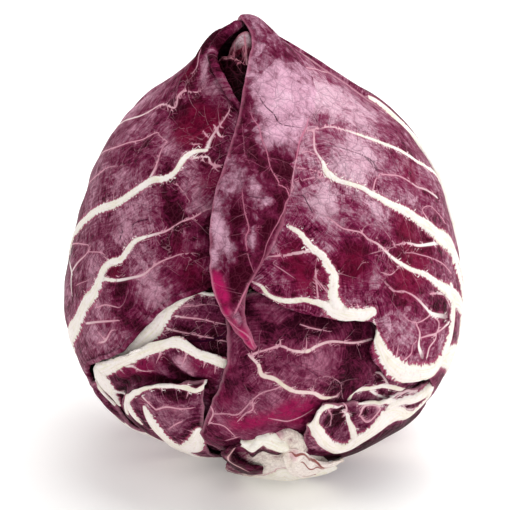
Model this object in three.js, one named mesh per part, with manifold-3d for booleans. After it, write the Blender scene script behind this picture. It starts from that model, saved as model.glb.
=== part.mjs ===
// A head of round red radicchio, standing on its trimmed root, tip up.
// Millimetres. +Z up, origin at the middle of the cut root face, the wide lapel leaf faces -Y.
import * as THREE from 'three';
import { mergeVertices } from 'three/addons/utils/BufferGeometryUtils.js';
import Module from 'manifold-3d';

const wasm = await Module();
wasm.setup();

// ---------------------------------------------------------------- driving sizes
const HEART_CENTRE = 54;       // height of the middle of the ball above the cut root
const LEAF_THICKNESS = 1.0;    // a wrapper blade, taken with its net of raised veins
const LEAF_GAP = 0.4;          // air kept between two leaves that lie on each other
const CORE_DEPTH = 11;         // how far the packed heart lies under the wrapper leaves
const ROOT_RADIUS = 13;        // trimmed root
const ROOT_HEIGHT = 9;
const ROOT_CHAMFER = 0.8;      // edge left by the knife

// The ball that the leaves wrap: distance from its middle at each latitude, a teardrop on top.
const PROFILE_LATITUDES = [-90, -74, -60, -30, 0, 20, 35, 50, 62, 72, 80, 85, 90];
const PROFILE_RADII = [49.5, 51.4, 55.6, 59.2, 59, 59.1, 61.6, 64.2, 65.6, 69, 74, 79, 85.5];

// The tip leans to the left: from this height up, by this much in all at the top.
const LEAN_FROM = 85;
const LEAN_OVER = 55;
const TIP_LEAN = 6.4;
const LEAN_CURVE = 1.2;

// The head is trimmed flatter low on its left: up to this deep, fading out round this place.
const TRIM_DEPTH = 3.2;
const TRIM_LONGITUDE = -48;
const TRIM_LATITUDE = -50;
const TRIM_WIDTH = 32;
const TRIM_HEIGHT = 18;

const DARK = 0x5a1230;
const PURPLE = 0x6e1c40;
const CRIMSON = 0x8a1738;
const ROSE = 0x9a4a68;
const CREAM = 0xe4dcc6;

// Leaves as nets of hand-set points, [longitude, latitude, lift]: longitude 0 is the front and
// grows to the right, lift is the height of the blade's outer face over the ball. Each net runs
// from the leaf's base up to its tip, each row of it from its left edge to its right edge.
const LEFT_WRAPPER = [
  [[-142, -74, 0], [-126, -74, 0], [-110, -74, 0], [-94, -74, 0], [-78, -74, 0]],
  [[-168, -46, 0], [-146, -46, 0], [-124, -46, 0.4], [-102, -46, 0.3], [-82, -46, 0]],
  [[-184, -20, 0], [-154, -19, 0], [-124, -18, 0.4], [-96, -20, 0.6], [-70, -23, 0.4]],
  [[-190, -2, 0], [-156, 0, 0], [-122, 0, 0.4], [-90, -6, 0.8], [-62, -14, 1.2]],
  [[-191, 16, 0], [-156, 17, 0], [-120, 16, 0.2], [-82, 8, 0.4], [-44, -4, 1]],
  [[-191, 32, 0], [-154, 33, 0], [-114, 31, 0], [-72, 24, 0], [-29, 12, 0.6]],
  [[-191, 47, 0], [-152, 47, 0], [-108, 45, 0], [-62, 36, 0], [-12, 23, -1.6]],
  [[-191, 59, 0], [-152, 59, 0], [-106, 57, 0], [-58, 50, -0.3], [-7, 38, -3]],
  [[-191, 68, 0], [-154, 68, 0], [-108, 67, 0], [-56, 62, -0.5], [-5, 54, -3]],
  [[-191, 75, 0], [-156, 75, 0], [-112, 74, 0], [-62, 71, -0.3], [-4, 67, -2.4]],
  [[-191, 80, 0], [-160, 80, 0], [-122, 79, 0.2], [-76, 77, 0.4], [-28, 75.6, 1.2]],
  [[-191, 84, 0], [-166, 84, 0], [-136, 83, 0.4], [-94, 81.5, 0.8], [-49, 80.6, 1.4]],
  [[-190, 87, -1], [-164, 86.8, -0.8], [-134, 86.4, -0.4], [-92, 85.6, 0.2], [-44, 85.2, 0.6]],
  [[-180, 88.8, -1.4], [-144, 88.6, -1.4], [-106, 88.2, -1.2], [-64, 88, -1], [-22, 88, -1]],
];

const RIGHT_WRAPPER = [
  [[72, -74, 0], [88, -74, 0], [104, -74, 0], [120, -74, 0], [136, -74, 0]],
  [[74, -46, 0], [92, -46, 0], [112, -46, 0], [136, -46, 0], [162, -46, -0.6]],
  [[60, -19.5, 1.4], [82, -19, 0.9], [108, -18, 0.4], [142, -18, 0], [178, -18, -2.6]],
  [[40, -13, 1.4], [70, -9, 0.9], [104, -8, 0.4], [144, -8, 0], [184, -8, -2.6]],
  [[31, -2, 1], [64, 0, 0.5], [102, 2, 0.2], [146, 3, 0], [188, 3, -2.6]],
  [[33, 6, 0.3], [62, 9, 0.2], [100, 12, 0], [146, 13, 0], [190, 13, -2.6]],
  [[19, 9.5, 0.5], [54, 17, 0], [96, 21, 0], [144, 22, 0], [191, 22, -2.6]],
  [[5, 14, 0.2], [46, 26, 0], [94, 31, 0], [144, 32, 0], [191, 32, -2.6]],
  [[-9, 25, -0.2], [40, 37, 0], [92, 42, 0], [144, 43, 0], [191, 43, -2.6]],
  [[-12, 42, -0.3], [38, 50, 0], [92, 54, 0], [144, 55, 0], [191, 55, -2.6]],
  [[-8, 58, -0.3], [40, 63, 0], [92, 66, 0], [144, 67, 0], [191, 67, -2.6]],
  [[0, 70, 0], [44, 74, 0], [92, 76, 0], [144, 76, 0], [191, 76, -2.6]],
  [[14, 80.5, 0.2], [54, 82, 0], [92, 83, 0], [144, 83, 0], [191, 83, -2.6]],
];

// The lapel: the right wrapper's own edge, pleated over to the left and hanging down to a point.
const LAPEL = [
  [[-3, 2.8, 3], [-2.4, 3, 3.3], [-1.8, 3.6, 3]],
  [[-8.5, 9, 3.8], [-6, 9.6, 4.4], [-4.8, 10.5, 2.8]],
  [[-13.5, 17, 3.4], [-9, 17, 5], [-5, 17, 2.6]],
  [[-15.5, 24, 2.8], [-8, 24, 5], [-1, 25, 2]],
  [[-16, 32, 2.6], [-6, 33, 5], [4.5, 32.5, 0.8]],
  [[-15.5, 41, 2.4], [-4, 42, 4.6], [10, 42, -0.2]],
  [[-13, 50, 2], [-1, 51, 3.8], [16.5, 50, -0.5]],
  [[-10, 60, 1.9], [6, 59, 2.8], [27, 60, -0.5]],
  [[-7, 68, 1.8], [12, 66, 2], [42, 64, -0.5]],
  [[-4.5, 74, 1.7], [22, 73, 1.5], [60, 70, -0.6]],
  [[2, 80, 1.5], [36, 79, 1.2], [84, 76, -0.6]],
  [[14, 85.4, 1.4], [60, 84.8, 1.4], [112, 82.6, 0.6]],
  [[-14, 87.8, 1.2], [60, 87.2, 1.4], [136, 86.2, 1]],
  [[-30, 89.4, -1], [60, 89.5, -1], [150, 89.2, -1]],
];

const CENTRE_LEAF = [
  [[24, -74, -3.6], [34, -74, -3.6], [44, -74, -3.6], [54, -74, -3.6]],
  [[-6, -52, -3.4], [12, -50, -3.4], [32, -48, -3.6], [54, -46, -4]],
  [[-19, -31, 1.5], [-4, -29, 1.8], [14, -24, -1], [43, -19, -4.4]],
  [[-17.5, -21, 2], [-2, -17, 3.4], [16, -13, 1], [42, -8, -4.2]],
  [[-12, -8, 1.5], [3, -6, 3], [18, -3, 0], [38, 0, -4]],
  [[-8, 1, 0.3], [5, 4, 0], [19, 6, -2.4], [34, 8, -3.8]],
  [[-5, 15, -2.2], [6, 19, -3], [19, 20, -3.4], [33, 20, -3.8]],
];

const BOTTOM_LEAF = [
  [[-22, -74, 2.2], [-8, -74, 2.2], [8, -74, 2.2], [22, -74, 2.2]],
  [[-22, -62, 2.6], [-6, -62, 2.2], [14, -61, 3.2], [36, -59, 2.6]],
  [[-19, -49, 4.6], [-4, -48, 2.6], [12, -47, 4.6], [34, -50, 4]],
  [[-15, -39, 3.4], [-3, -36, 1.2], [9, -33, 3.4], [25, -42, 2]],
  [[-9, -31, 4.2], [-1, -29, 3.9], [8, -27, 2.2], [17, -33, 1.6]],
];

const LOW_RIGHT_OUTER = [
  [[48, -74, 0], [58, -74, 0], [68, -74, 0]],
  [[19, -56, -1.5], [40, -58, -0.5], [66, -50, 0.5]],
  [[13, -33, 1.2], [31, -43, 2.6], [66, -34, 1.6]],
  [[12.5, -21, 3], [30, -29, 2.2], [66, -25, 1.4]],
  [[17, -15, 1.2], [36, -19, 0.4], [64, -20.5, -0.8]],
];

const LOW_RIGHT_INNER = [
  [[40, -70, -2.2], [50, -70, -2.2], [64, -70, -2.2]],
  [[22, -42, -2.4], [40, -42, -2.4], [64, -42, -2.4]],
  [[22, -25, -2.2], [42, -24, -2.4], [64, -26, -2.4]],
  [[24, -16, -1.6], [42, -17, -1.8], [63, -20, -2.2]],
  [[29, -8, -1.4], [38, -11, -1.7], [60, -15, -2]],
];

const LOW_LEFT_BAND = [
  [[-66, -70, -3.6], [-52, -70, -3.6], [-38, -70, -3.6]],
  [[-66, -38, -4], [-46, -36, -4.6], [-22, -34, -5]],
  [[-64, -17, -1.6], [-40, -12, -3.8], [-12, -8, -5]],
  [[-54, -8, -1.5], [-32, -1, -2.6], [-9, 0, -4.6]],
  [[-44, 4, -1.6], [-25, 9, -2.2], [-8, 8, -4]],
  [[-36, 14, -2.2], [-22, 17, -1.8], [-7, 17, -3.6]],
];

const LOW_LEFT_CREST = [
  [[-72, -74, -1.4], [-56, -74, -1.4], [-36, -74, -1.4]],
  [[-68, -48, -0.6], [-46, -45, -1.4], [-18, -42, -2.4]],
  [[-64, -28, 0.6], [-40, -26, -1.8], [-12, -24, -3.2]],
  [[-62, -19, 0.8], [-40, -11, -0.6], [-9, -14, -2.4]],
  [[-58, -12.5, 0.6], [-44, -6.2, 0.8], [-32, 0.6, 0.9], [-24, 4.2, 1], [-19.5, 1.6, 0.4], [-9, -2, -1.2]],
];

const LOW_LEFT_LOOP = [
  [[-52, -70, -1], [-40, -70, -1], [-26, -70, -1]],
  [[-50, -56, -0.5], [-36, -58, -0.5], [-23, -54, -0.5]],
  [[-46, -42, 0.6], [-32, -45, 1.6], [-20.5, -39, 1.2]],
  [[-50, -29, 1.6], [-33, -28, 3], [-18.5, -26, 2]],
  [[-47, -20.5, 1.6], [-38, -14, 2.2], [-28, -10.4, 2.4], [-16.5, -8, 0.8]],
];

const LOW_LEFT_EDGE = [
  [[-86, -72, 1.2], [-76, -72, 1.2], [-62, -72, 1]],
  [[-80, -46, 1.2], [-69, -46, 1.6], [-54, -48, 1.4]],
  [[-72.5, -31, 0.9], [-64.5, -31, 1.6], [-55, -34, 1.6]],
  [[-69, -23.5, 0.4], [-65, -22, 1], [-60, -20, 1.4]],
];

const BACK_LEAF = [
  [[152, -74, 2.1], [168, -74, 2.1], [184, -74, 2.1], [208, -74, 2.1]],
  [[128, -46, 2.2], [162, -46, 2.8], [196, -46, 2.9], [230, -46, 2.2]],
  [[104, -18, 2], [156, -18, 2.7], [202, -18, 2.8], [242, -18, 2]],
  [[99, 10, 2], [154, 10, 2.5], [204, 10, 2.5], [247, 10, 1.8]],
  [[98, 38, 2], [154, 38, 2.3], [204, 38, 2.3], [247, 36, 1.8]],
  [[101, 60, 1.9], [154, 60, 2.3], [202, 60, 2.3], [240, 57, 1.8]],
  [[116, 74, 1.9], [156, 75, 2.3], [196, 75, 2.3], [228, 72, 1.9]],
  [[140, 83, 2], [162, 85, 2.4], [186, 85, 2.4], [208, 82, 2]],
  [[136, 86.6, 1.6], [160, 87.4, 1.2], [188, 87.4, 1.2], [212, 86.4, 1.2]],
];

const BACK_LOW_RIGHT = [
  [[100, -73, 3.9], [118, -73, 3.9], [136, -73, 3.9]],
  [[100, -46, 3.8], [130, -46, 4.6], [160, -46, 4.7]],
  [[107, -20, 3.7], [136, -20, 4.7], [168, -20, 4.8]],
  [[113, 4, 3.8], [138, 6, 4.5], [166, 2, 4.7]],
  [[121, 18, 4.2], [137, 22, 4.5], [154, 16, 4.8]],
];

const BACK_LOW_LEFT = [
  [[212, -73, 3.9], [230, -73, 3.9], [248, -73, 3.9]],
  [[198, -46, 4.8], [228, -46, 4.7], [257, -46, 3.7]],
  [[190, -20, 5.1], [222, -20, 4.8], [251, -20, 3.7]],
  [[192, 6, 4.9], [220, 8, 4.6], [245, 4, 3.8]],
  [[202, 24, 4.9], [219, 30, 4.4], [236, 24, 4.2]],
];

// ---------------------------------------------------------------- the ball
function profileRadius(anyLatitude) {
  const latitude = Math.min(anyLatitude, 90);
  const last = PROFILE_LATITUDES.length - 1;
  let k = 0;
  while (k < last - 1 && latitude > PROFILE_LATITUDES[k + 1]) k++;
  const slope = (i) => {
    const a = Math.max(i - 1, 0);
    const b = Math.min(i + 1, last);
    return (PROFILE_RADII[b] - PROFILE_RADII[a]) / (PROFILE_LATITUDES[b] - PROFILE_LATITUDES[a]);
  };
  const span = PROFILE_LATITUDES[k + 1] - PROFILE_LATITUDES[k];
  const t = (latitude - PROFILE_LATITUDES[k]) / span;
  const ease = t * t * (3 - 2 * t);
  const out = t * (1 - t) * (1 - t) * span * slope(k);
  const into = t * t * (t - 1) * span * slope(k + 1);
  return PROFILE_RADII[k] * (1 - ease) + PROFILE_RADII[k + 1] * ease + out + into;
}

function onBall([longitude, latitude, lift]) {
  const lon = THREE.MathUtils.degToRad(longitude);
  const lat = THREE.MathUtils.degToRad(latitude);
  const around = ((longitude - TRIM_LONGITUDE + 540) % 360 + 360) % 360 - 180;
  const trim = TRIM_DEPTH * Math.exp(-((around / TRIM_WIDTH) ** 2)
    - ((latitude - TRIM_LATITUDE) / TRIM_HEIGHT) ** 2);
  const r = profileRadius(latitude) + lift - trim;
  const reach = r * Math.cos(lat);
  const height = HEART_CENTRE + r * Math.sin(lat);
  const lean = TIP_LEAN * Math.max((height - LEAN_FROM) / LEAN_OVER, 0) ** LEAN_CURVE;
  return new THREE.Vector3(reach * Math.sin(lon) - lean, -reach * Math.cos(lon), height);
}

// ---------------------------------------------------------------- a blade from its net
// A smooth curve through a row of points of the net, t from 0 to 1.
function alongCurve(points, t) {
  const last = points.length - 1;
  const k = Math.min(Math.floor(t * last), last - 1);
  const f = t * last - k;
  const at = (i) => {
    if (i < 0) return points[0].map((p, c) => 2 * p - points[1][c]);
    if (i > last) return points[last].map((p, c) => 2 * p - points[last - 1][c]);
    return points[i];
  };
  const [a, b, c, d] = [at(k - 1), at(k), at(k + 1), at(k + 2)];
  return b.map((_, i) => b[i] + 0.5 * f * (c[i] - a[i]
    + f * (2 * a[i] - 5 * b[i] + 4 * c[i] - d[i] + f * (3 * (b[i] - c[i]) + d[i] - a[i]))));
}

// A point of the blade. Towards its free edges the blade is waved, by `ripple` either way.
function onNet({ net, ripple = 0, waves = 0 }, u, v) {
  const [longitude, latitude, lift] = alongCurve(net.map((row) => alongCurve(row, u)), v);
  const side = Math.abs(2 * u - 1) ** 3;
  const end = v ** 4;
  const turn = 2 * Math.PI * waves;
  const wave = side * Math.sin(turn * v) * Math.sin(Math.PI * v) + end * Math.sin(turn * u);
  return onBall([longitude, latitude, lift + ripple * wave]);
}

// The closed solid of a blade: its outer face, the same triangles again one thickness inside,
// and the thin edge between them. `proud` and `margin` grow it into the room it needs.
function bladeSolid(leaf, across, along, thickness = LEAF_THICKNESS, proud = 0, margin = 0) {
  const columns = across + 1;
  const rows = along + 1;
  const step = 0.004;
  const outer = [];
  const inner = [];
  for (let j = 0; j < rows; j++) {
    for (let i = 0; i < columns; i++) {
      const u = (i / across) * (1 + 2 * margin) - margin;
      const v = (j / along) * (1 + 2 * margin) - margin;
      const inU = THREE.MathUtils.clamp(u, 0, 1);
      const inV = THREE.MathUtils.clamp(v, 0, 1);
      const here = onNet(leaf, inU, inV);
      const [u0, u1] = [Math.max(inU - step, 0), Math.min(inU + step, 1)];
      const [v0, v1] = [Math.max(inV - step, 0), Math.min(inV + step, 1)];
      const du = onNet(leaf, u1, inV).sub(onNet(leaf, u0, inV)).divideScalar(u1 - u0);
      const dv = onNet(leaf, inU, v1).sub(onNet(leaf, inU, v0)).divideScalar(v1 - v0);
      here.addScaledVector(du, u - inU).addScaledVector(dv, v - inV);
      const normal = du.cross(dv).normalize();
      outer.push(here.clone().addScaledVector(normal, proud));
      inner.push(here.addScaledVector(normal, -thickness - proud));
    }
  }
  const vertProperties = new Float32Array([...outer, ...inner].flatMap((p) => p.toArray()));
  const triangles = [];
  const under = columns * rows;
  for (let j = 0; j < along; j++) {
    for (let i = 0; i < across; i++) {
      const a = j * columns + i;
      const [b, c, d] = [a + 1, a + 1 + columns, a + columns];
      triangles.push([a, b, c], [a, c, d]);
      triangles.push([under + a, under + c, under + b], [under + a, under + d, under + c]);
    }
  }
  const rim = [];
  for (let i = 0; i < across; i++) rim.push(i);
  for (let j = 0; j < along; j++) rim.push(j * columns + across);
  for (let i = across; i > 0; i--) rim.push(along * columns + i);
  for (let j = along; j > 0; j--) rim.push(j * columns);
  rim.forEach((a, k) => {
    const b = rim[(k + 1) % rim.length];
    triangles.push([a, under + a, b], [b, under + a, under + b]);
  });
  const triVerts = new Uint32Array(triangles.flat());
  return new wasm.Manifold(new wasm.Mesh({ numProp: 3, vertProperties, triVerts }));
}

// ---------------------------------------------------------------- from three.js and back
function solidOf(geometry) {
  geometry.deleteAttribute('normal');
  geometry.deleteAttribute('uv');
  const merged = mergeVertices(geometry, 1e-3);
  return new wasm.Manifold(new wasm.Mesh({
    numProp: 3,
    vertProperties: new Float32Array(merged.attributes.position.array),
    triVerts: new Uint32Array(merged.index.array),
  }));
}

// The largest piece of a solid: what a cut leaves loose is dropped.
function wholePiece(solid) {
  return solid.decompose().sort((a, b) => b.volume() - a.volume())[0];
}

function meshOf(name, solid, color, roughness) {
  const { vertProperties, triVerts } = solid.getMesh();
  const geometry = new THREE.BufferGeometry();
  geometry.setAttribute('position', new THREE.BufferAttribute(new Float32Array(vertProperties), 3));
  geometry.setIndex(new THREE.BufferAttribute(new Uint32Array(triVerts), 1));
  geometry.computeVertexNormals();
  const material = new THREE.MeshStandardMaterial({ color, roughness, metalness: 0 });
  const mesh = new THREE.Mesh(geometry, material);
  mesh.name = name;
  return mesh;
}

// ---------------------------------------------------------------- root and heart
// The trimmed root: a flat knife cut below, rising inside the leaf bases to the heart.
function rootSolid() {
  const shoulder = ROOT_HEIGHT - 2;
  const top = HEART_CENTRE - profileRadius(-90) + CORE_DEPTH - LEAF_GAP;
  const outline = [
    [0, 0],
    [ROOT_RADIUS - ROOT_CHAMFER, 0],
    [ROOT_RADIUS, ROOT_CHAMFER],
    [ROOT_RADIUS - 1, 3],
    [ROOT_RADIUS - 3, shoulder],
    [ROOT_RADIUS - 5, top],
    [0, top],
  ].map(([x, y]) => new THREE.Vector2(x, y));
  return solidOf(new THREE.LatheGeometry(outline, 28).rotateX(Math.PI / 2));
}

// The packed heart: a core ball with the inner leaves standing out of it, each one wrapping a
// little under half of the way round and tucked under the next.
const HEART_LEAVES = 6;
const HEART_LEAF_HALF_WIDTH = 62;   // degrees at the widest row
const HEART_TURN = 137.5;           // degrees from one leaf to the next, as they grow
const HEART_LEAF_STEP = 0.5;        // how much further out each leaf lies than the one before
const HEART_LEAF_DEPTH = 5;         // an inner leaf reaches this far into the core
const CORE_TOP = 80;                // latitude where the core's point ends

function heartSolid() {
  const core = new THREE.SphereGeometry(1, 28, 20).rotateX(Math.PI / 2);
  const position = core.attributes.position;
  for (let i = 0; i < position.count; i++) {
    const p = new THREE.Vector3().fromBufferAttribute(position, i);
    const latitude = THREE.MathUtils.radToDeg(Math.asin(THREE.MathUtils.clamp(p.z, -1, 1)));
    p.multiplyScalar(profileRadius(Math.min(latitude, CORE_TOP)) - CORE_DEPTH);
    position.setXYZ(i, p.x, p.y, p.z + HEART_CENTRE);
  }
  let heart = solidOf(core);
  for (let k = 0; k < HEART_LEAVES; k++) {
    const middle = -40 + k * HEART_TURN;
    const net = [-62, -25, 10, 40, 62, 76, 82].map((latitude, row, all) => {
      const spread = HEART_LEAF_HALF_WIDTH * Math.sin(Math.PI * (0.16 + 0.62 * row / (all.length - 1)));
      return [-1, -0.5, 0, 0.5, 1].map((side) => {
        const edge = Math.abs(side);
        const drop = 9 * side * side * (row > 3 ? 1 : 0);
        const lift = 0.8 + HEART_LEAF_STEP * k + 0.3 * edge ** 3;
        return [middle + spread * side, latitude - drop, lift - CORE_DEPTH];
      });
    });
    heart = heart.add(bladeSolid({ net }, 7, 8, HEART_LEAF_DEPTH));
  }
  return wholePiece(heart);
}

// ---------------------------------------------------------------- the head
// Outermost first: each leaf is trimmed clear of the ones that lie over it. The lower leaves have
// the waved edges: `ripple` in millimetres, `waves` along an edge.
const LEAVES = [
  { name: 'leaf_back_low_right', net: BACK_LOW_RIGHT, cuts: [10, 11], ripple: 0.8, waves: 3, color: ROSE },
  { name: 'leaf_back_low_left', net: BACK_LOW_LEFT, cuts: [10, 11], ripple: 0.8, waves: 3, color: ROSE },
  { name: 'leaf_bottom', net: BOTTOM_LEAF, cuts: [11, 10], ripple: 1.2, waves: 2.5, color: CREAM },
  { name: 'leaf_back', net: BACK_LEAF, cuts: [14, 15], color: PURPLE },
  { name: 'leaf_low_left_edge', net: LOW_LEFT_EDGE, cuts: [6, 8], ripple: 0.8, waves: 2, color: DARK },
  { name: 'leaf_low_left_loop', net: LOW_LEFT_LOOP, cuts: [8, 11], color: CRIMSON },
  { name: 'leaf_low_right_outer', net: LOW_RIGHT_OUTER, cuts: [11, 12], ripple: 0.8, waves: 2.5, color: ROSE },
  { name: 'leaf_right', net: RIGHT_WRAPPER, cuts: [16, 17], color: ROSE },
  { name: 'leaf_left', net: LEFT_WRAPPER, cuts: [16, 16], color: PURPLE },
  { name: 'leaf_centre', net: CENTRE_LEAF, cuts: [11, 15], color: CRIMSON },
  { name: 'leaf_low_right_inner', net: LOW_RIGHT_INNER, cuts: [8, 11], color: DARK },
  { name: 'leaf_low_left_crest', net: LOW_LEFT_CREST, cuts: [11, 12], color: CRIMSON },
  { name: 'leaf_low_left_band', net: LOW_LEFT_BAND, cuts: [10, 13], color: PURPLE },
];
const LAPEL_CUTS = [8, 19];
const ROOM_MARGIN = 0.03;      // share of a blade's width that its room reaches past its edge

const head = new THREE.Group();
const placed = [];

function grow(name, solid, room, color) {
  const clear = wholePiece(placed.reduce((left, other) => left.subtract(other), solid));
  placed.push(room.add(clear));
  head.add(meshOf(name, clear, color, 0.5));
}

// A leaf's solid and the room that its neighbours leave it.
function leafAndRoom(leaf, cuts) {
  const room = bladeSolid(leaf, ...cuts, LEAF_THICKNESS, LEAF_GAP, ROOM_MARGIN);
  return [bladeSolid(leaf, ...cuts), room];
}

for (const leaf of LEAVES) {
  let [solid, room] = leafAndRoom(leaf, leaf.cuts);
  if (leaf.name === 'leaf_right') {
    const [lapel, lapelRoom] = leafAndRoom({ net: LAPEL }, LAPEL_CUTS);
    solid = solid.add(lapel);
    room = room.add(lapelRoom);
  }
  grow(leaf.name, solid, room, leaf.color);
}
const heart = heartSolid();
grow('heart', heart, heart, DARK);
head.add(meshOf('root', rootSolid(), CREAM, 0.8));

export default head;
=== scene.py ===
import math

import bmesh
import bpy
import numpy as np
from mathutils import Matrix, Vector, kdtree, noise


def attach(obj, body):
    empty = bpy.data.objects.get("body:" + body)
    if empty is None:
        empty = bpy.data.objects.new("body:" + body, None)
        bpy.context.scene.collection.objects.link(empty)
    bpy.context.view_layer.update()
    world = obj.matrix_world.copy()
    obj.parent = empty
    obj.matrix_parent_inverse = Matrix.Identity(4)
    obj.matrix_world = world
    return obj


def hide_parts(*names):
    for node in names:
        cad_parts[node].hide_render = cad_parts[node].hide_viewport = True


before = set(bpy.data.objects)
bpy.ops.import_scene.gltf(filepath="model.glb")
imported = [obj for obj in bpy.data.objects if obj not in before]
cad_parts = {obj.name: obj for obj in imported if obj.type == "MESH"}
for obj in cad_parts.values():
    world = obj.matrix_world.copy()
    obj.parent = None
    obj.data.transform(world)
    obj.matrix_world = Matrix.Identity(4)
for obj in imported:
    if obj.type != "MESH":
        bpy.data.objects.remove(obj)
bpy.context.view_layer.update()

# ---------------------------------------------------------------- left wrapper leaf
# The broad outer leaf that wraps the left half of the head: a thin burgundy blade stiffened by
# thick white ribs, which fan out from its base at the root. Its upper edge rolls open at the tip.

MM = 0.001
HEART_CENTRE = 54.0             # height of the ball's middle over the table
# the ball's face: its distance from that middle at each latitude, drawn out on top
PROFILE_LATITUDES = np.array([-90, -74, -60, -30, 0, 20, 35, 50, 62, 72, 80, 85, 90.0])
PROFILE_RADII = np.array([49.5, 51.4, 55.6, 59.2, 59, 59.1, 61.6, 64.2, 65.6, 69, 74, 79, 85.5])
# the tip leans over to the left, and the ball is a little flat low on the left
LEAN_FROM, LEAN_OVER, TIP_LEAN, LEAN_CURVE = 85.0, 55.0, 6.4, 1.2
TRIM_LONGITUDE, TRIM_LATITUDE = -48, -50
TRIM_WIDTH, TRIM_HEIGHT, TRIM_DEPTH = 32, 18, 3.2
MM_PER_DEGREE = 1.04            # one degree of arc on the ball


def profile_radius(latitude):
    """Distance of the ball's face from its middle, a teardrop on top."""
    x, y = PROFILE_LATITUDES, PROFILE_RADII
    at = np.clip(latitude, -90.0, 90.0)
    k = np.clip(np.searchsorted(x, at) - 1, 0, len(x) - 2)
    before = np.maximum(np.arange(len(x)) - 1, 0)
    after = np.minimum(np.arange(len(x)) + 1, len(x) - 1)
    slope = (y[after] - y[before]) / (x[after] - x[before])
    span = x[k + 1] - x[k]
    t = (at - x[k]) / span
    ease = t * t * (3 - 2 * t)
    bend = t * (1 - t) ** 2 * slope[k] + t * t * (t - 1) * slope[k + 1]
    return y[k] * (1 - ease) + y[k + 1] * ease + span * bend


def on_head(longitude, latitude, lift):
    """Points in millimetres: longitude 0 is the front, lift is the height over the ball."""
    lon, lat = np.radians(longitude), np.radians(latitude)
    around = (np.asarray(longitude) - TRIM_LONGITUDE + 180) % 360 - 180
    above = latitude - TRIM_LATITUDE
    trim = TRIM_DEPTH * np.exp(-((around / TRIM_WIDTH) ** 2) - (above / TRIM_HEIGHT) ** 2)
    r = profile_radius(latitude) + lift - trim
    height = HEART_CENTRE + r * np.sin(lat)
    lean = TIP_LEAN * np.maximum((height - LEAN_FROM) / LEAN_OVER, 0) ** LEAN_CURVE
    reach = r * np.cos(lat)
    return np.stack([reach * np.sin(lon) - lean, -reach * np.cos(lon), height], -1)


def curve_weights(points, places):
    """The share of each of a curve's points at each place, from 0 to 1, along the curve."""
    weights = np.zeros((len(places), points))
    for i, place in enumerate(places):
        k = min(int(place * (points - 1)), points - 2)
        f = place * (points - 1) - k
        shares = ((-f + 2 * f**2 - f**3) / 2, (2 - 5 * f**2 + 3 * f**3) / 2,
                  (f + 4 * f**2 - 3 * f**3) / 2, (f**3 - f**2) / 2)
        for j, share in zip((k - 1, k, k + 1, k + 2), shares):
            if j < 0:
                weights[i, 0] += 2 * share
                weights[i, 1] -= share
            elif j >= points:
                weights[i, points - 1] += 2 * share
                weights[i, points - 2] -= share
            else:
                weights[i, j] += share
    return weights


def spaced(density, count):
    """Places from 0 to 1, the closer together the higher the density is there."""
    total = np.concatenate([[0], np.cumsum((density[1:] + density[:-1]) / 2)])
    return np.interp(np.linspace(0, 1, count + 1), total / total[-1], np.linspace(0, 1, len(density)))


def smooth_step(low, high, value):
    """A soft step from 0 to 1 between two values."""
    t = np.clip((value - low) / (high - low), 0, 1)
    return t * t * (3 - 2 * t)


def unit(vectors):
    """The same directions, one long."""
    return vectors / np.maximum(np.linalg.norm(vectors, axis=-1, keepdims=True), 1e-9)


def cloud(places, size, seed):
    """Even random swell from -1 to 1 at points in millimetres, lumps of one size."""
    shift = Vector((seed * 7.3, seed * 3.1, seed * 5.7))
    lumps = [noise.noise(Vector(p) / size + shift) for p in places.reshape(-1, 3)]
    return np.array(lumps).reshape(places.shape[:-1])


def patches(places, spots):
    """Soft round patches, each (longitude, latitude, radius in millimetres, amount), added up."""
    total = np.zeros(places.shape[:-1])
    for lon, lat, size, amount in spots:
        total += amount * np.exp(-((places - on_head(lon, lat, 0)) ** 2).sum(-1) / size**2)
    return total


SAMPLE_STEP = 0.6               # from one sample of a vein to the next, in millimetres
VEIN_APART = 40                 # keeps the streaks of one vein from matching the next one's


def vein_samples(veins, thinnest=0.0):
    """Every vein as close-set samples: angles, place, direction, half width, length, which vein."""
    kept = []
    for index, vein in enumerate(veins):
        points = np.array(vein, float)
        length = np.linalg.norm(np.diff(on_head(points[:, 0], points[:, 1], 0), axis=0), axis=1).sum()
        count = max(int(length / SAMPLE_STEP), 3)
        line = curve_weights(len(points), np.linspace(0, 1, count)) @ points
        place = on_head(line[:, 0], line[:, 1], 0)
        way = unit(np.gradient(place, axis=0))
        run = np.linspace(0, length, count) + VEIN_APART * index
        wide = np.abs(line[:, 2]) >= thinnest
        parts = (line[:, :2], place, way, line[:, 2], run, np.full(count, index))
        kept.append([part[wide] for part in parts])
    return [np.concatenate(part) for part in zip(*kept)]


def nearest_vein(places, samples, from_edge=False):
    """For points on the ball: distance to the nearest vein's middle, side, half width, length.

    The nearest is the one whose middle is nearest, or whose edge is, if from_edge is set."""
    _, spots, ways, widths, runs, _ = samples
    flat = places.reshape(-1, 3)
    if from_edge:
        nearest = np.concatenate([
            np.argmin(np.linalg.norm(part[:, None] - spots, axis=2) - np.abs(widths), 1)
            for part in np.array_split(flat, max(len(flat) // 2000, 1))])
    else:
        tree = kdtree.KDTree(len(spots))
        for i, spot in enumerate(spots):
            tree.insert(spot, i)
        tree.balance()
        nearest = np.array([tree.find(point)[1] for point in flat])
    away, way = flat - spots[nearest], ways[nearest]
    along = (away * way).sum(1)
    off = away - np.clip(along, -SAMPLE_STEP / 2, SAMPLE_STEP / 2)[:, None] * way
    outward = unit(spots[nearest] - np.array([0, 0, HEART_CENTRE]))
    side = np.sign((np.cross(outward, way) * away).sum(1) + 1e-9)
    parts = (np.linalg.norm(off, axis=1), side, widths[nearest], runs[nearest] + along)
    return [part.reshape(places.shape[:-1]) for part in parts]


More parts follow.
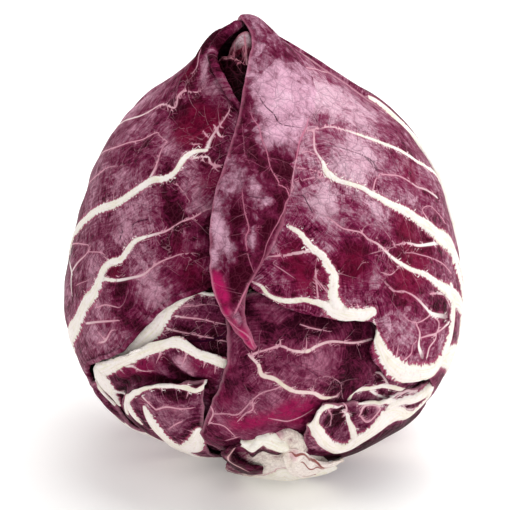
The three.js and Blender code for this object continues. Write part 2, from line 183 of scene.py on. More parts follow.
VEIN_STRIDE, VEIN_GAP = 1.2, 0.9            # a fine vein's step, and how near it comes to another
SPROUT_ANGLES = (50, 76)        # between a fine vein and the vein it leaves, in degrees
LAST_LATITUDE = 86              # fine veins stop short of the tip


def side_veins(veins, seed, every=6.0, reach=12.0, width=0.13, finer=True):
    """Fine veins that leave both sides of the given ones and run on until they meet another."""
    draw = np.random.default_rng(seed)
    angles, spots, _, widths, _, owner = vein_samples(veins)
    grown = []
    for index in range(len(veins)):
        line, girth = angles[owner == index], np.abs(widths[owner == index])
        others = spots[owner != index]
        at, side = int(every / SAMPLE_STEP * draw.uniform(0.3, 0.9)), 1
        while at < len(line) - 2:
            lon, lat = line[at]
            ahead = (line[at + 1] - line[at]) * (math.cos(math.radians(lat)), 1)
            heading = math.atan2(ahead[1], ahead[0]) + side * math.radians(draw.uniform(*SPROUT_ANGLES))
            path = [(lon, lat)]
            for step in range(int(reach * draw.uniform(0.5, 1.0) / VEIN_STRIDE)):
                heading += draw.normal(0, 0.1) - side * 0.03
                round_here = MM_PER_DEGREE * max(math.cos(math.radians(lat)), 0.1)
                lon += VEIN_STRIDE * math.cos(heading) / round_here
                lat += VEIN_STRIDE * math.sin(heading) / MM_PER_DEGREE
                if lat > LAST_LATITUDE:
                    break
                path.append((lon, lat))
                if step > 1 and len(others):
                    gaps = np.linalg.norm(others - on_head(lon, lat, 0), axis=1)
                    if gaps.min() < VEIN_GAP:
                        break
            if len(path) > 2:
                past = np.maximum(np.arange(len(path)) * VEIN_STRIDE - girth[at], 0)
                foot = np.clip(0.2 * girth[at] - width, 0, 0.3) * np.exp(-past / 1.1)
                thin = np.linspace(width, 0.6 * width, len(path)) + foot
                grown.append([(x, y, w) for (x, y), w in zip(path, thin)])
            at += max(int(every / SAMPLE_STEP * draw.uniform(0.6, 1.4)), 2)
            side = -side
    if finer:
        grown = grown + side_veins(grown, seed + 1, every * 0.75, reach * 0.4, width * 0.7, False)
    return grown


BROAD_RIB = 0.5                 # from this half width on, a vein is a rib with a body of its own
NO_RIB = 9.0                    # the distance to a rib on a leaf that has none
RIB_FULL = 1.6                  # a rib wider than this stands no higher
THREAD_HEIGHT, THREAD_FOOT = 0.12, 0.4
PUFF_REACH = 2.5                # the blade has puffed up this far from a vein
EDGE_BAND = 2.2                 # width of the frayed edge that turns in
BROAD_SWELL, SMALL_SWELL, FRAY_SWELL, TONE_SWELL = 14, 5.5, 3.1, 13
UNDER_LATITUDE = -45            # below it a leaf hardly shows, and has fewer cells
SHOWN_SHARE = 4.0               # cells stand this much closer where a leaf shows


def leaf_sheet(net, cells, ribs, threads=(), fine=(), seed=1, ripple=0.0, waves=0.0, folds=(),
               tones=(), blushes=(), shows=(0.0, 1.0), swell=0.5, puff=0.45, rib_height=0.26,
               curl=0.6, fray=0.5, roll=None):
    """One blade as a grid of points in millimetres, with what its skin needs to know at each."""
    columns, rows = cells
    finely = np.linspace(0, 1, 401)
    row_heights = np.array([np.mean([p[1] for p in row]) for row in net])
    heights = curve_weights(len(net), finely) @ row_heights
    u = spaced(np.where((finely >= shows[0]) & (finely <= shows[1]), SHOWN_SHARE, 1.0), columns)
    climb = np.abs(np.gradient(heights)) + 0.02
    v = spaced(climb * np.where(heights > UNDER_LATITUDE, 1, 0.3), rows)
    across = np.array([curve_weights(len(row), u) @ np.array(row, float) for row in net])
    lon, lat, lift = np.einsum("jk,kic->cji", curve_weights(len(net), v), across)
    u, v = np.broadcast_arrays(u[None, :], v[:, None])
    turn = 2 * np.pi * waves
    lift = lift + ripple * (np.abs(2 * u - 1) ** 3 * np.sin(turn * v) * np.sin(np.pi * v)
                            + v**4 * np.sin(turn * u))
    flat = on_head(lon, lat, 0)
    left = np.cumsum(np.linalg.norm(np.diff(flat, axis=1, prepend=flat[:, :1]), axis=2), 1)
    below = np.cumsum(np.linalg.norm(np.diff(flat, axis=0, prepend=flat[:1]), axis=2), 0)
    edge = np.minimum(np.minimum(left, left[:, -1:] - left), below[-1:] - below)
    for height, line in folds:
        distance, _, width, _ = nearest_vein(flat, vein_samples([line]))
        lift = lift + height * np.exp(-(distance / width) ** 2)
    broad = vein_samples(ribs, BROAD_RIB) if ribs else [()]
    if len(broad[0]):
        rib, _, rib_width, run = nearest_vein(flat, broad, True)
        rib = rib - rib_width
    else:
        rib, rib_width, run = np.full(u.shape, NO_RIB), np.ones(u.shape), left
    distance, side, size, _ = nearest_vein(flat, vein_samples([*ribs, *threads]), True)
    gap = np.maximum(distance - np.abs(size), 0)
    if fine:
        fine_distance, fine_side, fine_size, _ = nearest_vein(flat, vein_samples(fine))
        closer = fine_distance - fine_size < distance - np.abs(size)
        distance, side, size = (np.where(closer, a, b) for a, b in (
            (fine_distance, distance), (fine_side, side), (fine_size, size)))
    thread, gate = side * distance / np.abs(size), distance - np.abs(size)
    # between its veins the blade puffs up, and it is never quite even
    lift = lift + puff * (1 - np.exp(-gap / PUFF_REACH)) - 0.5 * puff
    lift = lift + swell * cloud(flat, BROAD_SWELL, seed)
    lift = lift + swell * 0.45 * cloud(flat, SMALL_SWELL, seed + 1)
    # the thin edge is frayed a little and turned in towards the head
    near_edge = np.exp(-(edge / EDGE_BAND) ** 2)
    lon = lon + fray * near_edge * cloud(flat, FRAY_SWELL, seed + 11)
    lat = lat + fray * near_edge * cloud(flat, FRAY_SWELL, seed + 12)
    place = on_head(lon, lat, lift - curl * near_edge)
    normal = unit(np.cross(np.gradient(place, axis=1), np.gradient(place, axis=0)))
    inside = np.clip(-rib / rib_width, 0, 1)
    raised = rib_height * np.minimum(rib_width, RIB_FULL) * np.sqrt(1 - (1 - inside) ** 2)
    strong = smooth_step(0.16, 0.4, np.abs(size))
    raised = raised + THREAD_HEIGHT * strong * np.exp(-(np.maximum(gate, 0) / THREAD_FOOT) ** 2)
    place = place + normal * raised[..., None]
    # the tone is random mottling plus the listed patches, which paint shade in hollows and creases and
    # highlights on crests
    tone = 0.45 * cloud(flat, TONE_SWELL, seed + 3) + patches(flat, tones)
    marks = {"rib": rib, "run": run, "thread": thread, "gate": gate, "size": size, "edge": edge,
             "tone": tone, "blush": patches(flat, blushes)}
    if roll is not None:
        place, marks = rolled(place, normal, v[:, -1], roll, marks)
    return place, marks


def rolled(place, normal, v, roll, marks):
    """Carries the right edge on round a circle: roll is (from v, to v, radius, degrees, steps)."""
    start, stop, radius, degrees, steps = roll
    rim, up = place[:, -1], normal[:, -1]
    out = unit(place[:, -1] - place[:, -3])
    room = smooth_step(start - 0.05, start + 0.02, v) * (1 - smooth_step(stop, stop + 0.05, v))
    size = (0.1 + radius * room)[:, None]
    turns = np.radians(degrees) * np.arange(1, steps + 1) / steps
    extra = [rim + size * (math.sin(turn) * out + (1 - math.cos(turn)) * up) for turn in turns]
    wider = np.concatenate([place, np.stack(extra, 1)], 1)
    return wider, {key: np.concatenate([values, np.repeat(values[:, -1:], steps, 1)], 1)
                   for key, values in marks.items()}


def finished(name, shape, material):
    """An object with smooth faces from a shape that is ready."""
    mesh = bpy.data.meshes.new(name)
    shape.to_mesh(mesh)
    shape.free()
    mesh.polygons.foreach_set("use_smooth", np.ones(len(mesh.polygons), bool))
    mesh.materials.append(material)
    piece = bpy.data.objects.new(name, mesh)
    bpy.context.scene.collection.objects.link(piece)
    return piece


def leaf_piece(name, node, material, sheets, thickness=0.8):
    """A leaf from its sheets: grids moved into place, given their marks, then their thickness."""
    shape = bmesh.new()
    for place, _ in sheets:
        rows, columns = place.shape[:2]
        bmesh.ops.create_grid(shape, x_segments=columns - 1, y_segments=rows - 1, size=1)
    piece = finished(name, shape, material)
    mesh = piece.data
    points = np.concatenate([place.reshape(-1, 3) for place, _ in sheets]) * MM
    mesh.vertices.foreach_set("co", points.astype(np.float32).ravel())
    for key in sheets[0][1]:
        values = np.concatenate([marks[key].ravel() for _, marks in sheets]).astype(np.float32)
        mesh.attributes.new(key, "FLOAT", "POINT").data.foreach_set("value", values)
    mesh.update()
    wall = piece.modifiers.new("thickness", "SOLIDIFY")
    wall.thickness = thickness * MM
    wall.offset = -1
    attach(piece, "root")
    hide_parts(node)


def wire(tree, kind, settings=None, **inputs):
    """Adds a shader node, sets it, and joins or sets its inputs; an input _0 is the first socket."""
    node = tree.nodes.new(kind)
    for key, value in (settings or {}).items():
        setattr(node, key, value)
    for key, value in inputs.items():
        socket = node.inputs[int(key[1:]) if key[0] == "_" else key.replace("_", " ")]
        if isinstance(value, bpy.types.NodeSocket):
            tree.links.new(value, socket)
        else:
            socket.default_value = value
    return node


def formula(tree, operation, *values):
    """One sum, product or the like of values or sockets."""
    inputs = {f"_{i}": value for i, value in enumerate(values)}
    return wire(tree, "ShaderNodeMath", {"operation": operation}, **inputs).outputs[0]


def ramp(tree, value, low, high, first=0.0, last=1.0):
    """A soft step between two values."""
    settings = {"interpolation_type": "SMOOTHSTEP"}
    node = wire(tree, "ShaderNodeMapRange", settings, Value=value, From_Min=low, From_Max=high,
                To_Min=first, To_Max=last)
    return node.outputs[0]


def blend(tree, share, first, second):
    """The first colour where the share is 0, the second where it is 1."""
    return wire(tree, "ShaderNodeMix", {"data_type": "RGBA"}, _0=share, _6=first, _7=second).outputs[2]


def grain(tree, place, scale, detail=4.0, rough=0.6):
    """Random grain about 0.5."""
    return wire(tree, "ShaderNodeTexNoise", Vector=place, Scale=scale, Detail=detail,
                Roughness=rough).outputs[0]


SWAY = 0.0024                   # how far, in metres, the net and the cells are drawn out of line
COARSE_NET, FINE_NET = 250.0, 620.0
LUMPS, SPOTS, SPECKS, PIMPLES = 80.0, 360.0, 1100.0, 300.0


def skin_group():
    """What all leaves share: blade, net of fine veins, threads, and ribs with a feathered edge."""
    tree = bpy.data.node_groups.new("leaf_skin", "ShaderNodeTree")
    for name in ("Blade", "Dark", "Bloom", "Blush", "Fringe", "Rib", "Grain", "Thread", "Ink"):
        tree.interface.new_socket(name, in_out="INPUT", socket_type="NodeSocketColor")
    for name in ("Feather", "Net", "Rim"):
        tree.interface.new_socket(name, in_out="INPUT", socket_type="NodeSocketFloat")
    for name, kind in (("Color", "Color"), ("Roughness", "Float"), ("Height", "Float")):
        tree.interface.new_socket(name, in_out="OUTPUT", socket_type=f"NodeSocket{kind}")
    given = tree.nodes.new("NodeGroupInput").outputs
    result = tree.nodes.new("NodeGroupOutput").inputs

    def mark(name):
        return wire(tree, "ShaderNodeAttribute", {"attribute_name": name}).outputs["Fac"]

    def net(scale):
        settings = {"feature": "DISTANCE_TO_EDGE"}
        found = wire(tree, "ShaderNodeTexVoronoi", settings, Vector=swayed, Scale=scale)
        return found.outputs["Distance"]

    def cells(scale):
        found = wire(tree, "ShaderNodeTexVoronoi", {"feature": "F1"}, Vector=swayed, Scale=scale)
        return formula(tree, "SUBTRACT", found.outputs["Color"], 0.5)

    def times(first, second):
        return formula(tree, "MULTIPLY", first, second)

    def add(total, value, share, middle=0.0):
        more = formula(tree, "MULTIPLY_ADD", value, share, -middle * share)
        return formula(tree, "ADD", total, more)

    def streak(along, across, detail=4.0, rough=0.6):
        """Grain drawn out along a rib or away from it."""
        place = wire(tree, "ShaderNodeCombineXYZ", X=times(run, along), Y=times(rib, across))
        return grain(tree, place.outputs[0], 1.0, detail, rough)

    place = wire(tree, "ShaderNodeTexCoord").outputs["Object"]
    sway = wire(tree, "ShaderNodeTexNoise", Vector=place, Scale=260.0, Detail=2.0).outputs["Color"]
    swayed = wire(tree, "ShaderNodeVectorMath", {"operation": "MULTIPLY_ADD"}, _0=sway,
                  _1=(SWAY, SWAY, SWAY), _2=place).outputs[0]
    coarse, fine = net(COARSE_NET), net(FINE_NET)
    rib, run, size = mark("rib"), mark("run"), mark("size")
    girth = formula(tree, "ABSOLUTE", size)
    lumps, spots = grain(tree, place, LUMPS, 5.0), grain(tree, swayed, SPOTS, 5.0, 0.65)
    specks = grain(tree, place, SPECKS, 5.0, 0.7)
    # fibres: fine streaks that run away from a rib close to it, and along with it further off
    fibre, grown = streak(2.6, 0.35), streak(0.22, 1.5)
    by_rib = ramp(tree, rib, 9.0, 1.0)
    # the blade's tone: dark below 0, and paler the higher it is. The pale colour is partly a painted
    # sheen of the light from above, and the tone patches add painted shade and painted highlights
    tone = add(add(add(mark("tone"), lumps, 2.8, 0.5), spots, 3.4, 0.5), specks, 1.8, 0.5)
    tone = add(add(tone, cells(150.0), 0.9), cells(420.0), 0.9)
    fibrous = times(formula(tree, "MULTIPLY_ADD", fibre, 4.0, -2.0), by_rib)
    tone = formula(tree, "ADD", tone, fibrous)
    tone = add(tone, grown, 2.8, 0.5)
    bloom_and_sheen = ramp(tree, tone, -0.4, 2.0)
    blade = blend(tree, ramp(tree, tone, 0.15, -1.35), given["Blade"], given["Dark"])
    blade = blend(tree, bloom_and_sheen, blade, given["Bloom"])
    # the palest tones are screened lighter still: a painted highlight
    screen = {"data_type": "RGBA", "blend_type": "SCREEN"}
    blade = wire(tree, "ShaderNodeMix", screen, _0=ramp(tree, tone, 1.6, 3.6), _6=blade,
                 _7=(0.3, 0.2, 0.24, 1)).outputs[2]
    # a crimson blush where the blush patches lie: it tints the painted-shade patches, and on lit folds
    # and rims it paints a glow of light through the leaf
    blushed = times(ramp(tree, mark("blush"), 0.05, 1.0), ramp(tree, spots, 0.3, 0.6, 0.3, 1.0))
    blade = blend(tree, blushed, blade, given["Blush"])
    blade = blend(tree, ramp(tree, specks, 0.5, 0.85, 0.0, 0.6), blade, given["Dark"])
    # the net of finest veins: ink on pale blade, reddish on dark blade
    lines = formula(tree, "MAXIMUM", ramp(tree, coarse, 0.055, 0.01, 0.0, 0.6),
                    ramp(tree, fine, 0.09, 0.0, 0.0, 0.4))
    lines = times(lines, times(given["Net"], ramp(tree, tone, -0.8, 0.6, 0.3, 1.0)))
    line_color = blend(tree, ramp(tree, tone, -0.9, 0.3), given["Fringe"], given["Ink"])
    blade = blend(tree, lines, blade, line_color)
    # a pale line along the free edge, partly a painted highlight on the edge
    rim = ramp(tree, formula(tree, "MULTIPLY_ADD", spots, 1.6, mark("edge")), 2.0, 0.9)
    blade = blend(tree, times(rim, given["Rim"]), blade, given["Thread"])
    # threads: fine veins, each drawn where the signed distance passes through its middle
    near = ramp(tree, mark("gate"), 0.8, 0.45)
    line = times(ramp(tree, formula(tree, "ABSOLUTE", mark("thread")), 1.2, 0.55), near)
    line = times(line, ramp(tree, girth, 0.9, 0.6))
    strength = ramp(tree, girth, 0.07, 0.26, 0.22, 1.0)
    pale = blend(tree, ramp(tree, girth, 0.26, 0.55), given["Thread"], given["Rib"])
    faint = times(ramp(tree, girth, 0.18, 0.12), ramp(tree, tone, -0.3, 0.5))
    inked = formula(tree, "MAXIMUM", ramp(tree, size, 0.04, -0.04), faint)
    vein = blend(tree, inked, pale, given["Ink"])
    halo = times(ramp(tree, mark("gate"), 0.8, 0.0, 0.0, 0.2), ramp(tree, size, 0.12, 0.3))
    blade = blend(tree, halo, blade, given["Fringe"])
    blade = blend(tree, times(line, strength), blade, vein)
    # ribs: white, with teeth of white and of the blade's colour along both sides
    reach = times(given["Feather"], ramp(tree, girth, 0.4, 2.4, 0.2, 1.0))
    teeth = formula(tree, "MULTIPLY_ADD", streak(0.6, 0.2, 6.0, 0.75), 7.0, -3.5)
    teeth = formula(tree, "MAXIMUM", formula(tree, "MINIMUM", teeth, 1.1), -0.9)
    ragged = formula(tree, "MULTIPLY_ADD", teeth, reach, rib)
    white = ramp(tree, ragged, 0.14, -0.14)
    fringe = ramp(tree, formula(tree, "DIVIDE", ragged, reach), 1.6, 0.0, 0.0, 0.75)
    streaked = ramp(tree, streak(0.1, 1.7), 0.42, 0.7, 0.0, 0.7)
    rib_color = blend(tree, streaked, given["Rib"], given["Grain"])
    rib_color = blend(tree, ramp(tree, specks, 0.5, 0.8, 0.0, 0.5), rib_color, given["Thread"])
    color = blend(tree, fringe, blade, given["Fringe"])
    tree.links.new(blend(tree, white, color, rib_color), result["Color"])
    dull = formula(tree, "ADD", ramp(tree, specks, 0.2, 0.8, 0.34, 0.52), times(bloom_and_sheen, 0.08))
    tree.links.new(dull, result["Roughness"])
    # relief: puffed cells between the veins of both nets, pimples and fibres, less on the ribs
    height = times(ramp(tree, coarse, 0.0, 0.25), 0.7)
    height = add(height, ramp(tree, fine, 0.0, 0.2), 0.22)
    height = add(add(height, grain(tree, place, PIMPLES, 6.0), 0.9), grown, 0.5)
    height = add(height, times(fibre, by_rib), 0.5)
    height = times(height, formula(tree, "SUBTRACT", 1.0, times(white, 0.4)))
    tree.links.new(height, result["Height"])
    return tree


leaf_skin = skin_group()

# The pale colour at the top of the tone is partly a painted sheen of the light from above.
WRAPPER_COLOURS = {
    "Blade": (0.15, 0.0085, 0.048), "Dark": (0.028, 0.0002, 0.006), "Bloom": (0.58, 0.29, 0.39),
    "Blush": (0.14, 0.0015, 0.024), "Fringe": (0.42, 0.07, 0.15), "Rib": (0.88, 0.81, 0.78),
    "Grain": (0.74, 0.7, 0.5), "Thread": (0.6, 0.28, 0.36), "Ink": (0.025, 0.0008, 0.014)}
WRAPPER_SHARES = {"Feather": 0.9, "Net": 0.55, "Rim": 0.0}
LEAF_GLOSS = 0.02
RELIEF_DEPTH = 0.0005


def leaf_material(name, **own):
    """A leaf's finish: the shared skin with the wrapper's colours and shares, except its own."""
    material = bpy.data.materials.new(name)
    material.use_nodes = True
    tree = material.node_tree
    tree.nodes.clear()
    colours = {key: (*own.get(key, value), 1) for key, value in WRAPPER_COLOURS.items()}
    shares = {key: own.get(key, value) for key, value in WRAPPER_SHARES.items()}
    skin = wire(tree, "ShaderNodeGroup", {"node_tree": leaf_skin}, **colours, **shares).outputs
    relief = wire(tree, "ShaderNodeBump", Strength=0.7, Distance=RELIEF_DEPTH, Height=skin["Height"])
    shine = wire(tree, "ShaderNodeBsdfPrincipled", Base_Color=skin["Color"],
                 Roughness=skin["Roughness"], Specular_IOR_Level=LEAF_GLOSS, Normal=relief.outputs[0])
    wire(tree, "ShaderNodeOutputMaterial", Surface=shine.outputs[0])
    return material


wrapper_skin = leaf_material("wrapper_skin")

# A net has rows from the foot up, of (longitude, latitude, lift). Ribs and threads run through
# (longitude, latitude, half width), and a width below 0 draws them in ink. A fold is a height and
# such a line. A tone or blush is (longitude, latitude, radius, amount), and above 0 it is paler.
LEFT_NET = [
    [(-142, -74, 0), (-126, -74, 0), (-110, -74, 0), (-94, -74, 0), (-78, -74, 0)],
    [(-168, -46, 0), (-146, -46, 0), (-124, -46, 0.4), (-102, -46, 0.3), (-82, -46, 0)],
    [(-184, -20, 0), (-154, -19, 0), (-124, -18, 0.4), (-96, -20, 0.6), (-70, -23, 0.4)],
    [(-190, -2, 0), (-156, 0, 0), (-122, 0, 0.4), (-90, -6, 0.8), (-62, -14, 1.2)],
    [(-191, 16, 0), (-156, 17, 0), (-120, 16, 0.2), (-82, 8, 0.4), (-44, -4, 1)],
    [(-191, 32, 0), (-154, 33, 0), (-114, 31, 0), (-72, 24, 0), (-29, 12, 0.6)],
    [(-191, 47, 0), (-152, 47, 0), (-108, 45, 0), (-62, 36, 0), (-12, 23, -1.6)],
    [(-191, 59, 0), (-152, 59, 0), (-106, 57, 0), (-58, 50, -0.3), (-7, 38, -3)],
    [(-191, 68, 0), (-154, 68, 0), (-108, 67, 0), (-56, 62, -0.5), (-5, 54, -3)],
    [(-191, 75, 0), (-156, 75, 0), (-112, 74, 0), (-62, 71, -0.3), (-4, 67, -2.4)],
    [(-191, 80, 0), (-160, 80, 0), (-122, 79, 0.2), (-76, 77, 0.4), (-28, 75.6, 1.2)],
    [(-191, 84, 0), (-166, 84, 0), (-136, 83, 0.4), (-94, 81.5, 0.8), (-49, 80.6, 1.4)],
    [(-190, 87, -1), (-164, 86.8, -0.8), (-134, 86.4, -0.4), (-92, 85.6, 0.2), (-44, 85.2, 0.6)],
    [(-180, 88.8, -1.4), (-144, 88.6, -1.4), (-106, 88.2, -1.2), (-64, 88, -1), (-22, 88, -1)],
]
LEFT_RIBS = [
    [(-112, -74, 5), (-116, -40, 4), (-110, -10, 3), (-96, 6, 2.2), (-85, 18, 1.8), (-75, 25.5, 1.5),
     (-66.5, 30.5, 1.25), (-59.5, 33.5, 1.25), (-54.5, 36, 1.2), (-50, 39.5, 1.15), (-46, 42.5, 1.1),
     (-43, 44.5, 1.05), (-39, 45.5, 1), (-35, 47.5, 1), (-33.5, 49.5, 0.9), (-32.5, 52, 0.9),
     (-30.5, 54.5, 0.8), (-28, 56, 0.62), (-25.5, 57, 0.5), (-25.5, 59.5, 0.42), (-25, 62, 0.36),
     (-23.5, 64, 0.32), (-21, 65.5, 0.3), (-18, 68, 0.28), (-16, 70, 0.2)],
    [(-108, -74, 5), (-98, -44, 4.4), (-90, -26, 3.6), (-76, -11, 3), (-68, -4.5, 2.7), (-63.5, 1, 2.4),
     (-60, 5.5, 2.2), (-57, 8.5, 2), (-55, 13.5, 1.7), (-54.5, 16, 1.4), (-52, 19, 1.15),
     (-48, 21, 1.05), (-45.5, 24.5, 1), (-43, 27, 0.8), (-40.5, 28.5, 0.55), (-36.5, 30.5, 0.4),
     (-33, 32, 0.32), (-29.5, 34.5, 0.28), (-26, 36, 0.26), (-23.5, 37.5, 0.25), (-20.5, 40, 0.2),
     (-18, 41, 0.14)],
    [(-54, 14, 0.55), (-48, 15, 0.5), (-42.5, 17, 0.42), (-38, 19, 0.36), (-35.5, 21.5, 0.32),
     (-32.5, 23.5, 0.28), (-29.5, 25, 0.22), (-26.5, 26.5, 0.2), (-22.5, 27.5, 0.15), (-21, 27.5, 0.1)],
    [(-114, 10, 1), (-108, 30, 0.7), (-99.5, 46.5, 0.55), (-90.5, 52.5, 0.45), (-78, 58, 0.42),
     (-73, 61.5, 0.38), (-70, 64, 0.36), (-65, 65, 0.36), (-56.5, 65.5, 0.32), (-56.5, 68, 0.3),
     (-55, 70, 0.3), (-50, 71, 0.26), (-44.5, 73, 0.2), (-39, 74.5, 0.12)],
    [(-32, 63, 0.16), (-29.5, 62, 0.3), (-27, 61, 0.26)],
    [(-24.5, 64.5, 0.3), (-21, 62.5, 0.4), (-19, 62, 0.2)],
    [(-34, 58.5, 0.12), (-31.5, 57.5, 0.24), (-29.5, 58, 0.2)],
]
LEFT_THREADS = [
    [(-95, 37, 0.4), (-88, 42, 0.35), (-73.5, 47.5, 0.3), (-66, 51, 0.28), (-59, 54, 0.26),
     (-54, 57, 0.22), (-51, 56.5, 0.18), (-46, 56, 0.18)],
    [(-44.5, 45.5, 0.4), (-44, 48, 0.28), (-44, 51, 0.22), (-45, 53.5, 0.2), (-46, 56, 0.18)],
    [(-93.5, 28.5, 0.35), (-83.5, 35, 0.3), (-75, 39.5, 0.26), (-70.5, 42, 0.2), (-63.5, 44, 0.15),
     (-61, 45, 0.1)],
    [(-59, 35.5, 0.2), (-61, 39, 0.14), (-63, 43.5, 0.1)],
    [(-58.5, 48.5, -0.1), (-54.5, 49.5, -0.13), (-47.5, 51, -0.13), (-41.5, 52, -0.1)],
    [(-34.5, 46, 0.2), (-30.5, 44, 0.18), (-28.5, 43, 0.16), (-26.5, 41.5, 0.15), (-23, 40, 0.12)],
    [(-29.5, 53, 0.4), (-24, 55, 0.4), (-21.5, 53.5, 0.3), (-17, 53, 0.2)],
    [(-25, 53.5, 0.3), (-21, 53, 0.25), (-18, 51.5, 0.18)],
    [(-92, 12.5, 0.6), (-85.5, 11, 0.5), (-76.5, 9.5, 0.5), (-74.5, 7, 0.5), (-72.5, 4, 0.4)],
    [(-74.5, 10, 0.45), (-70, 14.5, 0.35), (-66.5, 17.5, 0.3), (-65.5, 20, 0.2)],
    [(-90.5, 12.5, 0.3), (-76.5, 17.5, 0.26), (-67.5, 20, 0.2)],
    [(-65.5, 18.5, 0.2), (-57.5, 20.5, 0.2), (-54, 19.5, 0.2)],
    [(-69, 7.5, 0.2), (-63, 10.5, 0.17), (-59.5, 12.5, 0.15), (-58, 10, 0.13)],
    [(-25.5, 26, 0.12), (-23.5, 25, 0.1), (-24, 23, 0.1)],
    [(-60, -1, 0.4), (-53.5, 1.5, 0.35), (-47.5, 3.5, 0.3), (-44.5, 4.5, 0.2)],
    [(-54.5, 5.5, 0.25), (-50, 7.5, 0.22), (-45.5, 8, 0.2), (-44.5, 8, 0.16)],
    [(-44.5, 8, 0.15), (-43.5, 9.5, 0.12), (-43, 12.5, 0.1)],
    [(-53, -4.5, 0.3), (-50, -3, 0.35), (-47.5, 0.5, 0.22), (-45.5, 1.5, 0.15)],
    [(-50, -3, 0.25), (-53.5, -1.5, 0.18), (-55, -1, 0.12)],
    [(-45.5, 29.5, -0.16), (-45.5, 31.5, -0.2), (-43, 33, -0.2), (-40, 34, -0.18),
     (-37.5, 33.5, -0.14)],
    [(-50, 27, -0.25), (-49.5, 28.5, -0.25), (-51, 30, -0.15)],
    [(-49, 37, -0.15), (-42, 37.5, -0.15), (-37, 38, -0.12)],
    [(-39, 30.5, 0.14), (-39, 32, 0.14), (-40, 34, 0.12)],
    [(-34, 31.5, 0.14), (-34.5, 34, 0.12), (-37.5, 36, 0.1)],
    [(-38.5, 20, -0.12), (-39, 22.5, -0.14), (-39, 25.5, -0.12)],
    [(-36.5, 21.5, -0.12), (-35.5, 24.5, -0.12)],
    [(-30, 20, -0.12), (-30.5, 21.5, -0.14), (-29.5, 23.5, -0.12)],
    [(-72.5, 79, 0.18), (-62, 76.5, 0.2), (-61, 74.5, 0.15)],
]
LEFT_BACK_RIBS = [
    [(-114, -60, 3), (-134, -20, 2), (-146, 20, 1.2), (-150, 50, 0.7), (-150, 72, 0.3)],
    [(-120, -50, 2), (-152, -20, 1.2), (-172, 10, 0.6), (-182, 30, 0.3)],
]
LEFT_FOLDS = [
    (-1.2, [(-23, 62, 3), (-21, 54, 3), (-19, 46, 3), (-18, 36, 3), (-18, 28, 3), (-18, 20, 3)]),
    (0.8, [(-36, 56, 3), (-31, 47, 3), (-27, 38, 3), (-27, 28, 3)]),
    (-0.9, [(-46, 64, 3), (-38, 62, 3), (-31, 66, 2.6)]),
    (0.8, [(-50, 69, 2.2), (-62, 71.5, 2.2)]),
    (1.4, [(-63, 84.5, 1.3), (-74, 83, 1.5), (-80, 81.5, 1.6), (-75.5, 79, 1.6), (-69.5, 77, 1.6),
           (-66, 74.5, 1.6), (-62.5, 72, 1.6), (-58, 68, 1.4)]),
    (-0.9, [(-57, 81.5, 1.2), (-53, 79.5, 1.4), (-50.5, 77, 1.4), (-47.5, 75, 1.4), (-46, 72, 1.4)]),
    (-1.3, [(-40, 62, 2.4), (-34, 66, 2.6), (-30, 70, 2.2)]),
    (-1.0, [(-26, 50, 2.2), (-30, 43, 2.4), (-31, 36, 2)]),
    (0.8, [(-48, 30, 4), (-38, 26, 3), (-30, 24, 2.4)]),
    (-0.9, [(-44, 12, 2.4), (-38, 8, 3), (-30, 8, 2.4)]),
    (0.7, [(-56, 60, 3), (-50, 48, 3), (-42, 54, 2)]),
]
# Most of these patches paint shade and light: dark ones in the dips of the folds and in the hollow beside
# the lapel, pale ones as painted highlights on the crests; others give the blade's own colour, such as
# the dark rolled strand and the pale crumpled strip near the tip.
LEFT_TONES = [
    (-35.5, 64, 6, -1.5), (-30, 65.5, 5, -1.2), (-35, 58.5, 6, -0.9), (-20, 48, 6, -0.6),
    (-49.5, 17.5, 2.5, -1.6), (-55, 50, 4, -0.8), (-41, 48, 4, -0.8), (-34, 42, 4, -0.9),
    (-30.5, 36.5, 4, -1.5), (-45, 14, 3, -1.1), (-22.5, 22, 6, -0.8), (-39, 8, 5, -1.2),
    (-27.5, 29.5, 4, -0.9), (-74, -1, 2, -1.2), (-40.5, 54, 3, 1.2), (-50, 59.5, 3, 0.9),
    (-74.5, 32, 5, 0.8), (-26.5, 47, 4, 0.9), (-21.5, 41, 3.4, 1.3), (-47, 31, 8, 0.9), (-40, 23, 5, 1),
    (-34, 16, 5, 1.4), (-60.5, 15.5, 5, 1), (-52.5, 4.5, 4, 0.9), (-55, -2.5, 4, 0.8),
    (-100, 55, 10, 0.9), (-60, 73, 3, -1.6), (-72, 79, 2.4, -2), (-80, 82, 2.4, -2), (-66, 75, 2.4, -2),
    (-104, 80, 5, -1), (-53, 79.5, 1.6, 2.2), (-50.5, 77, 1.6, 2), (-47.5, 75, 1.6, 1.6),
    (-42, 78, 2, -2), (-48, 82, 2.4, -2), (-34, 76, 1.6, -1.5), (-18, 34, 2.8, -1.4),
    (-19, 27, 3, -1.3), (-18, 21, 3, -1.3), (-24, 54, 4, -0.9), (-46, 63, 4, -0.9),
]
# crimson blush laid on the painted-shade patches
LEFT_BLUSHES = [
    (-35.5, 64, 7, 1), (-30, 65.5, 5, 0.7), (-35, 58.5, 6, 0.5), (-20, 48, 6, 0.6),
    (-49.5, 17.5, 3, 0.9), (-22.5, 22, 6, 0.6), (-27.5, 29.5, 4, 0.4), (-68, 74, 5, 0.7),
]
left_fine = side_veins(LEFT_RIBS + LEFT_THREADS[:8], 100)
leaf_piece("leaf_left_blade", "leaf_left", wrapper_skin, [leaf_sheet(
    LEFT_NET, (226, 200), LEFT_RIBS + LEFT_BACK_RIBS, LEFT_THREADS, left_fine, seed=2, folds=LEFT_FOLDS,
    tones=LEFT_TONES, blushes=LEFT_BLUSHES, shows=(0.5, 1.0), roll=(0.74, 0.97, 0.7, 230, 6))])
